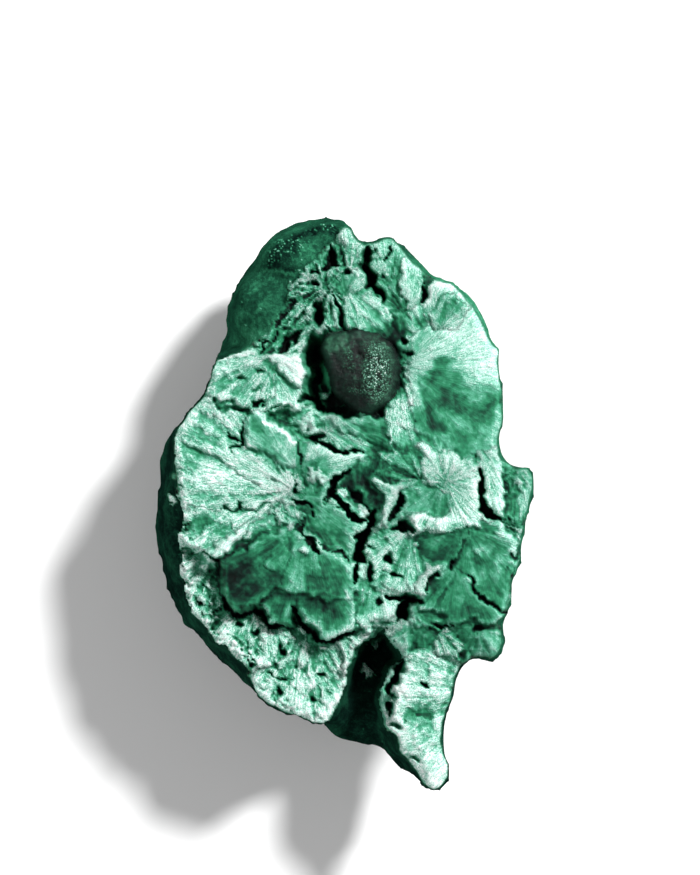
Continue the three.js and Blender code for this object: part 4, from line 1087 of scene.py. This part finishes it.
# %% Relax the sides and the top
edges = np.empty(2 * len(welded.edges), int)
welded.edges.foreach_get("vertices", edges)
edges = edges.reshape(-1, 2)
neighbours = np.bincount(edges.ravel(), minlength=len(points))[:, None]


def neighbour_mean(values):
    total = np.zeros(values.shape)
    for column in range(values.shape[1]):
        total[:, column] = np.bincount(edges[:, 0], values[edges[:, 1], column], len(values))
        total[:, column] += np.bincount(edges[:, 1], values[edges[:, 0], column], len(values))
    return total / neighbours


def relaxed(values, share, times):
    """The values after moving a share of the way to the mean of their neighbours, a few times."""
    for _ in range(times):
        values = values + share * (neighbour_mean(values) - values)
    return values


def normals_of(data):
    flat = np.empty(3 * len(data.vertices))
    data.vertices.foreach_get("normal", flat)
    return flat.reshape(-1, 3)


welded.update()
steep = ramp(np.abs(normals_of(welded)[:, 2]), 0.5, 0.25)
near_edge = ramp(depth_inside(points[:, 0], points[:, 1], OUTLINE), 2.3, 1.5)
side = (np.maximum(1 - on_top, kind == SKIN_KIND) * ramp(points[:, 2], 0.0, 0.6))[:, None]
off_ground = ramp(points[:, 2], 0.0, 3.5)
loose = np.maximum(side, (0.8 * steep * near_edge)[:, None])
points = relaxed(points, 0.6 * loose, times=16)
points[:, 2:] = relaxed(points[:, 2:], (0.25 * on_top)[:, None], times=2)
welded.vertices.foreach_set("co", points.ravel())
welded.update()
print("relaxed", int((loose > 0.5).sum()), "of", len(points), "points by more than half")

# %% Normals of the relaxed shape, themselves smoothed
normals = normals_of(welded)
for _ in range(6):
    normals = 0.5 * normals + 0.5 * neighbour_mean(normals)
normals /= np.maximum(np.linalg.norm(normals, axis=1), 0.3)[:, None]


# %% Swellings and roughness that work in all three directions
def swellings(p, size, seed):
    """Round bumps: 1 in the middle of each and 0 where they meet."""
    cell = np.floor(p / size)
    nearest = np.full(len(p), 9.0)
    for dx in (-1, 0, 1):
        for dy in (-1, 0, 1):
            for dz in (-1, 0, 1):
                c = cell + (dx, dy, dz)
                flat = c[:, 0] + 57 * c[:, 2]
                jitter = np.stack([lattice_value(flat, c[:, 1], seed + k) for k in range(3)], 1)
                centre = (c + 0.5 + 0.35 * jitter) * size
                nearest = np.minimum(nearest, np.linalg.norm(p - centre, axis=1) / size)
    return np.clip(1 - (nearest / 0.65) ** 2, 0, 1)


def solid_rough(p, size, seed, octaves=3):
    """Roughness that changes in all three directions."""
    a, b, c = p[:, 0] / size, p[:, 1] / size, p[:, 2] / size
    total = rough(a + 0.6 * c, b - 0.5 * c, seed=seed, octaves=octaves)
    total += rough(b + 0.7 * a, c - 0.4 * a, seed=seed + 9, octaves=octaves)
    return 0.7 * total


# %% Push the skin in between the young lobes
SWELLING = 2.1
SWELLING_HEIGHT = 0.38
BIG_SWELLING = 5.2
BIG_SWELLING_HEIGHT = 0.75

swayed = points + 0.5 * np.stack([solid_rough(points, 3.0, seed, 2) for seed in (131, 133, 135)], 1)
lobes_on_lobes = swellings(swayed, BIG_SWELLING, 141)
young_lobes = swellings(swayed, SWELLING, 101)
skin_bumps = BIG_SWELLING_HEIGHT * (lobes_on_lobes - 1) + SWELLING_HEIGHT * (young_lobes - 1)
skin_bumps += 0.08 * swellings(points, 0.75, 111) + 0.09 * solid_rough(points, 0.8, 121)
lower_part = ramp(points[:, 2], TOP - 1.0, TOP - 4.5)
push = side[:, 0] * off_ground * (0.2 + 0.8 * lower_part) * (1 - 0.8 * on_top)
points += normals * (push * skin_bumps)[:, None]
points = relaxed(points, 0.3 * side, times=2)
outside = ramp(depth_inside(points[:, 0], points[:, 1], OUTLINE), 0.0, -0.15)[:, None]
points = relaxed(points, 0.8 * outside, times=12)
print("bumps of the skin from", round(float(skin_bumps.min()), 2), "mm inwards")

# %% Keep the points apart, flatten the sole and stretch to size
# Relaxing can bring two points to one spot, and the shell would open there as soon as close
# points are merged. Moves of two thousandths of a millimetre keep them apart.
APART = 0.002
SOLE = 0.05  # height from which the underside is pressed flat

points += np.random.default_rng(7).normal(scale=APART, size=points.shape)
low = points[:, 2] < SOLE
points[low, 2] = SOLE * np.exp(points[low, 2] / SOLE - 1)
points[:, 2] -= points[:, 2].min()
wanted = np.array(OUTLINE)
for axis in (0, 1):
    low, high = points[:, axis].min(), points[:, axis].max()
    share_there = (points[:, axis] - low) / (high - low)
    print("stretched by", round(float(np.ptp(wanted[:, axis]) / (high - low)), 3))
    points[:, axis] = wanted[:, axis].min() + share_there * np.ptp(wanted[:, axis])

# %% [markdown]
# ## What the finish needs to know
#
# The finish follows the fibres, so each point of the mesh carries three things: its tone, how
# strongly it is speckled, and its place along and across its fan. The tone also holds a painted
# highlight on edges and painted shade in hollows: it follows the height of each point above or
# below the mean height round it. Steep sides get a tone of their own, because the fan seen from
# above says nothing about them.

# %% Store the numbers on the mesh
GRID = 0.15
PALE = 0.72  # paler tones are brought closer together
CLIFF_TONE = 0.42
GRID_HALF_WIDTH = 16
GRID_HALF_LENGTH = 24


def blurred_height(x, y, radius):
    """Mean height of the break within about the radius, at each point."""
    gx = np.arange(-GRID_HALF_WIDTH, GRID_HALF_WIDTH, GRID)
    gy = np.arange(-GRID_HALF_LENGTH, GRID_HALF_LENGTH, GRID)
    sums = np.zeros((len(gx), len(gy)))
    counts = np.full(sums.shape, 1e-6)
    ix = np.clip(((x + GRID_HALF_WIDTH) / GRID).astype(int), 0, len(gx) - 1)
    iy = np.clip(((y + GRID_HALF_LENGTH) / GRID).astype(int), 0, len(gy) - 1)
    top = on_top > 0.5
    np.add.at(sums, (ix[top], iy[top]), points[top, 2])
    np.add.at(counts, (ix[top], iy[top]), 1)
    reach = max(1, int(radius / GRID))
    for _ in range(2):
        for axis in (0, 1):
            sums = sum(np.roll(sums, k, axis) for k in range(-reach, reach + 1))
            counts = sum(np.roll(counts, k, axis) for k in range(-reach, reach + 1))
    return sums[ix, iy] / counts[ix, iy]


relative = points[:, 2] - blurred_height(points[:, 0], points[:, 1], 0.3)
relative_wide = points[:, 2] - blurred_height(points[:, 0], points[:, 1], 0.9)
# Painted highlight where a point stands above the mean height round it, painted shade where it lies below.
edge_highlight_hollow_shade = 0.15 * np.clip(relative / 0.2, -1, 1) + 0.09 * np.clip(relative_wide / 0.8, -1, 1)
is_break = kind == BREAK_KIND
tone = np.where(is_break & (on_top > 0.5), tone + edge_highlight_hollow_shade, tone + 0.3 * edge_highlight_hollow_shade)
side_tone = 0.13 + 0.10 * ramp(points[:, 1], 9, 13) * ramp(points[:, 2], 4, 12)
side_tone += 0.18 * ramp(points[:, 2], TOP - 6, TOP - 3) * ramp(points[:, 0], 2, 8)
side_tone += 0.06 * lobes_on_lobes + 0.06 * young_lobes + 0.03 * solid_rough(points, 1.6, 151)
side_tone += 0.03 * solid_rough(points, 0.5, 153, 2)
tone = np.where(on_top > 0.5, tone, side_tone)
cliff = 0.8 * ramp(np.abs(normals[:, 2]), 0.55, 0.3) * ((on_top > 0.5) & (kind < NODULE_KIND))
tone = tone * (1 - cliff) + CLIFF_TONE * cliff
wall = near_edge * ramp(np.abs(normals[:, 2]), 0.55, 0.3) * on_top
tone = tone * (1 - wall) + side_tone * wall
kind = np.where((wall > 0.5) & (kind == BREAK_KIND), SKIN_KIND, kind)
mixed = 0.5 * ramp(points[:, 1], 12, 9)
blended = tone * (1 - mixed) + side_tone * mixed
tone = np.where((on_top > 0.5) & (kind == SKIN_KIND), blended, tone)
kind = np.where(on_top > 0.5, kind, SKIN_KIND)


def store(name, values, type_name="FLOAT"):
    layer = welded.attributes.new(name, type_name, "POINT")
    field = "value" if type_name == "FLOAT" else "vector"
    layer.data.foreach_set(field, np.asarray(values, np.float32).ravel())


tone = np.where(tone > PALE, PALE + 0.5 * (tone - PALE), tone)
store("tone", np.clip(tone, 0, 1))
speckle = (0.15 + 1.05 * ramp(tone, 0.46, 0.74)) * (0.55 + 0.45 * np.clip(grain, 0.4, 1.6))
speckle = np.where(kind == SKIN_KIND, np.maximum(speckle, 0.4), speckle)
store("speckle", np.where(kind == NODULE_KIND, grain, speckle))
fibres = np.stack([face["along"], face["across"], 2.5 * points[:, 2]], 1)
even = points * (1.0, 0.27, 2.4)
fibres = np.where((kind == SKIN_KIND)[:, None], even, fibres)
fibres = np.where((kind == NODULE_KIND)[:, None], 3.2 * even, fibres)
store("fibre", fibres, "FLOAT_VECTOR")

# %% Scale to metres and put it where the solid is
points *= MM
points += (middle.x, middle.y, node_low.z)
welded.vertices.foreach_set("co", points.ravel())
welded.update()
welded.polygons.foreach_set("use_smooth", np.ones(len(welded.polygons), bool))

# %% [markdown]
# ## Finishes
#
# Three finishes share the same stone: the fibrous break, the smooth dark skin, and the nodule
# with its sparkling crust. They take different shares of the same effects, so the effects are
# node groups. One turns a tone into malachite's greens. One makes the finest fibres, flecks and
# grains, finer than any triangle of the mesh. The third puts both together into a colour, a
# roughness and a height.

# %% Helpers for node groups
def linear(code):
    """A hex colour as the linear colour that the renderer mixes."""
    parts = [int(code[k:k + 2], 16) / 255 for k in (0, 2, 4)]
    return [((c + 0.055) / 1.055) ** 2.4 if c > 0.04045 else c / 12.92 for c in parts] + [1.0]


def new_group(name, inputs, outputs):
    group = bpy.data.node_groups.new(name, "ShaderNodeTree")
    for label, kind_of, default in inputs:
        socket = group.interface.new_socket(label, in_out="INPUT", socket_type=kind_of)
        if default is not None:
            socket.default_value = default
    for label, kind_of in outputs:
        group.interface.new_socket(label, in_out="OUTPUT", socket_type=kind_of)
    return group, group.nodes.new("NodeGroupInput"), group.nodes.new("NodeGroupOutput")


def maths(tree, operation, first, second=None):
    node = tree.nodes.new("ShaderNodeMath")
    node.operation = operation
    for socket, value in zip(node.inputs, (first, second)):
        if isinstance(value, bpy.types.NodeSocket):
            tree.links.new(value, socket)
        elif value is not None:
            socket.default_value = value
    return node.outputs[0]


# %% Group: tone to malachite green
GREENS = [(0.0, "020705"), (0.15, "06211a"), (0.3, "0b4a33"), (0.45, "1c7a54"), (0.6, "51a587"),
          (0.75, "97d0bd"), (0.88, "cbe9e0"), (1.0, "f3fbf8")]

greens, greens_in, greens_out = new_group(
    "malachite_greens", [("Tone", "NodeSocketFloat", 0.5)], [("Color", "NodeSocketColor")])
scale = greens.nodes.new("ShaderNodeValToRGB")
while len(scale.color_ramp.elements) < len(GREENS):
    scale.color_ramp.elements.new(0.5)
for element, (position, code) in zip(scale.color_ramp.elements, GREENS):
    element.position = position
    element.color = linear(code)
greens.links.new(greens_in.outputs["Tone"], scale.inputs["Fac"])
greens.links.new(scale.outputs["Color"], greens_out.inputs["Color"])

# %% Group: the finest fibres, flecks and grains
FIBRE_STRETCH = (0.55, 5.5, 1.0)
FLECK_STRETCH = (2.4, 9.0, 1.0)
GRAINS_PER_METRE = 10500.0


def noise_texture(tree, place, scale, detail, roughness):
    texture = tree.nodes.new("ShaderNodeTexNoise")
    texture.inputs["Scale"].default_value = scale
    texture.inputs["Detail"].default_value = detail
    texture.inputs["Roughness"].default_value = roughness
    tree.links.new(place, texture.inputs["Vector"])
    return texture.outputs["Fac"]


def stretched(tree, place, by):
    times = tree.nodes.new("ShaderNodeVectorMath")
    times.operation = "MULTIPLY"
    times.inputs[1].default_value = by
    tree.links.new(place, times.inputs[0])
    return times.outputs[0]


silk, silk_in, silk_out = new_group(
    "silky_fibres", [("Fibre", "NodeSocketVector", None), ("Position", "NodeSocketVector", None)],
    [("Streak", "NodeSocketFloat"), ("Fleck", "NodeSocketFloat"), ("Grain", "NodeSocketFloat")])
along_fan = silk_in.outputs["Fibre"]
streak = noise_texture(silk, stretched(silk, along_fan, FIBRE_STRETCH), 1.0, 3.0, 0.65)
fleck = noise_texture(silk, stretched(silk, along_fan, FLECK_STRETCH), 1.0, 2.0, 0.5)
speck = noise_texture(silk, silk_in.outputs["Position"], GRAINS_PER_METRE, 3.0, 0.7)
crisp = silk.nodes.new("ShaderNodeMapRange")
crisp.inputs["From Min"].default_value = 0.5
crisp.inputs["From Max"].default_value = 0.66
silk.links.new(fleck, crisp.inputs["Value"])
silk.links.new(streak, silk_out.inputs["Streak"])
silk.links.new(crisp.outputs["Result"], silk_out.inputs["Fleck"])
silk.links.new(speck, silk_out.inputs["Grain"])


# %% Group: the stone's surface
surface, surface_in, surface_out = new_group(
    "malachite_surface",
    [("Tone", "NodeSocketFloat", 0.5), ("Speckle", "NodeSocketFloat", 1.0),
     ("Fibre", "NodeSocketVector", None), ("Position", "NodeSocketVector", None),
     ("Streak Share", "NodeSocketFloat", 0.3), ("Grain Share", "NodeSocketFloat", 0.6),
     ("Fleck Share", "NodeSocketFloat", 0.1), ("Saturation", "NodeSocketFloat", 1.0),
     ("Gloss", "NodeSocketFloat", 0.5)],
    [("Color", "NodeSocketColor"), ("Roughness", "NodeSocketFloat"), ("Height", "NodeSocketFloat")])
fine_fibres = surface.nodes.new("ShaderNodeGroup")
fine_fibres.node_tree = silk
surface.links.new(surface_in.outputs["Fibre"], fine_fibres.inputs["Fibre"])
surface.links.new(surface_in.outputs["Position"], fine_fibres.inputs["Position"])
streak_here = fine_fibres.outputs["Streak"]
fleck_here = fine_fibres.outputs["Fleck"]
grain_here = fine_fibres.outputs["Grain"]
speckle_here = surface_in.outputs["Speckle"]
silkiness = maths(surface, "ADD", maths(surface, "MULTIPLY", speckle_here, 0.65), 0.35)


def share_of(effect, middle_value, label):
    """How far an effect lies from its middle value, times the share that the finish gives it."""
    difference = maths(surface, "SUBTRACT", effect, middle_value)
    return maths(surface, "MULTIPLY", difference, surface_in.outputs[label])


streaks = share_of(streak_here, 0.5, "Streak Share")
grains = share_of(grain_here, 0.5, "Grain Share")
flecks = share_of(fleck_here, 0.3, "Fleck Share")
streaks = maths(surface, "MULTIPLY", streaks, silkiness)
speckles = maths(surface, "MULTIPLY", maths(surface, "ADD", grains, flecks), speckle_here)
varied = maths(surface, "ADD", maths(surface, "ADD", surface_in.outputs["Tone"], streaks), speckles)
colour = surface.nodes.new("ShaderNodeGroup")
colour.node_tree = greens
surface.links.new(varied, colour.inputs["Tone"])
tuned = surface.nodes.new("ShaderNodeHueSaturation")
surface.links.new(surface_in.outputs["Saturation"], tuned.inputs["Saturation"])
surface.links.new(colour.outputs["Color"], tuned.inputs["Color"])
surface.links.new(tuned.outputs["Color"], surface_out.inputs["Color"])
dulled = maths(surface, "MULTIPLY", grain_here, 0.2)
gloss = maths(surface, "ADD", surface_in.outputs["Gloss"], dulled)
surface.links.new(gloss, surface_out.inputs["Roughness"])
raised = maths(surface, "ADD", streak_here, maths(surface, "MULTIPLY", grain_here, 0.5))
surface.links.new(maths(surface, "MULTIPLY", raised, silkiness), surface_out.inputs["Height"])


# %% A finish: the surface group with its own shares, on one shader
def finish(name, streak_share, grain_share, fleck_share, roughness, bump, specular, saturation):
    material = bpy.data.materials.new(name)
    material.use_nodes = True
    tree = material.node_tree
    shader = tree.nodes["Principled BSDF"]
    stone_surface = tree.nodes.new("ShaderNodeGroup")
    stone_surface.node_tree = surface
    for label, output in (("Tone", "Fac"), ("Speckle", "Fac"), ("Fibre", "Vector")):
        reader = tree.nodes.new("ShaderNodeAttribute")
        reader.attribute_name = label.lower()
        tree.links.new(reader.outputs[output], stone_surface.inputs[label])
    place = tree.nodes.new("ShaderNodeTexCoord")
    tree.links.new(place.outputs["Object"], stone_surface.inputs["Position"])
    stone_surface.inputs["Streak Share"].default_value = streak_share
    stone_surface.inputs["Grain Share"].default_value = grain_share
    stone_surface.inputs["Fleck Share"].default_value = fleck_share
    stone_surface.inputs["Saturation"].default_value = saturation
    stone_surface.inputs["Gloss"].default_value = roughness
    tree.links.new(stone_surface.outputs["Color"], shader.inputs["Base Color"])
    tree.links.new(stone_surface.outputs["Roughness"], shader.inputs["Roughness"])
    relief_node = tree.nodes.new("ShaderNodeBump")
    relief_node.inputs["Strength"].default_value = 1.0
    relief_node.inputs["Distance"].default_value = bump * MM
    tree.links.new(stone_surface.outputs["Height"], relief_node.inputs["Height"])
    tree.links.new(relief_node.outputs["Normal"], shader.inputs["Normal"])
    shader.inputs["Specular IOR Level"].default_value = specular
    return material


broken = finish("fibrous_break", streak_share=0.34, grain_share=0.85, fleck_share=0.13,
                roughness=0.5, bump=0.17, specular=0.10, saturation=0.94)
skin = finish("botryoidal_skin", streak_share=0.3, grain_share=0.75, fleck_share=0.1,
              roughness=0.45, bump=0.18, specular=0.0, saturation=0.9)
crust = finish("nodule_crust", streak_share=0.08, grain_share=1.3, fleck_share=0.5,
               roughness=0.3, bump=0.3, specular=0.3, saturation=0.8)
for material in (broken, skin, crust):
    welded.materials.append(material)
corner_of = np.empty(len(welded.loops), int)
welded.loops.foreach_get("vertex_index", corner_of)
kind_of_face = np.round(np.median(kind[corner_of.reshape(-1, 3)], axis=1)).astype(int)
welded.polygons.foreach_set("material_index", kind_of_face)
welded.update()
print("faces of break, skin and nodule:", np.bincount(kind_of_face))

# %% Tell the frame what the stone stands for
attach(stone, "root")
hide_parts("malachite")

# %% [markdown]
# ## Floor, light and camera
#
# The stone lies on a plain pale floor with its break up, so the camera looks straight down. One
# strong lamp stands towards the thick end and the right. It is small enough to draw the edges
# of the plates, and a weak lamp and a pale sky fill the shadows.

# %% Floor
floor_mesh = bpy.data.meshes.new("floor")
floor_shape = bmesh.new()
bmesh.ops.create_grid(floor_shape, x_segments=1, y_segments=1, size=2.0)
floor_shape.to_mesh(floor_mesh)
floor_shape.free()
floor = bpy.data.objects.new("floor", floor_mesh)
bpy.context.scene.collection.objects.link(floor)
paper = bpy.data.materials.new("pale_floor")
paper.use_nodes = True
paper_shader = paper.node_tree.nodes["Principled BSDF"]
paper_shader.inputs["Base Color"].default_value = (0.92, 0.92, 0.92, 1)
paper_shader.inputs["Roughness"].default_value = 0.9
floor_mesh.materials.append(paper)


# %% Lamps
def lamp(name, towards, distance, size, power):
    data = bpy.data.lights.new(name, "AREA")
    data.shape = "DISK"
    data.size = size
    data.energy = power
    made = bpy.data.objects.new(name, data)
    direction = Vector(towards).normalized()
    made.location = direction * distance
    made.rotation_euler = direction.to_track_quat("Z", "Y").to_euler()
    bpy.context.scene.collection.objects.link(made)


lamp("key_light", towards=(0.64, 0.66, 0.95), distance=1.2, size=0.2, power=23.0)
lamp("fill_light", towards=(-0.8, -0.3, 1.0), distance=1.4, size=0.9, power=4.0)
SKY_STRENGTH = 0.31
world = bpy.data.worlds.new("sky")
world.use_nodes = True
background = world.node_tree.nodes["Background"]
background.inputs["Color"].default_value = (1, 1, 1, 1)
background.inputs["Strength"].default_value = SKY_STRENGTH
bpy.context.scene.world = world
bpy.context.scene.view_settings.view_transform = "Standard"

# %% Camera, straight above
PICTURE_HEIGHT = 66.0
PICTURE_MIDDLE = (0.45, 5.02)
CAMERA_DISTANCE = 0.42
FACE_HEIGHT = 15.5
SENSOR = 24

camera_data = bpy.data.cameras.new("camera")
camera_data.sensor_fit = "VERTICAL"
camera_data.sensor_height = SENSOR
camera_data.lens = SENSOR * CAMERA_DISTANCE / (PICTURE_HEIGHT * MM)
camera = bpy.data.objects.new("camera", camera_data)
camera.location = (middle.x + PICTURE_MIDDLE[0] * MM, middle.y + PICTURE_MIDDLE[1] * MM,
                   node_low.z + FACE_HEIGHT * MM + CAMERA_DISTANCE)
bpy.context.scene.collection.objects.link(camera)
bpy.context.scene.camera = camera
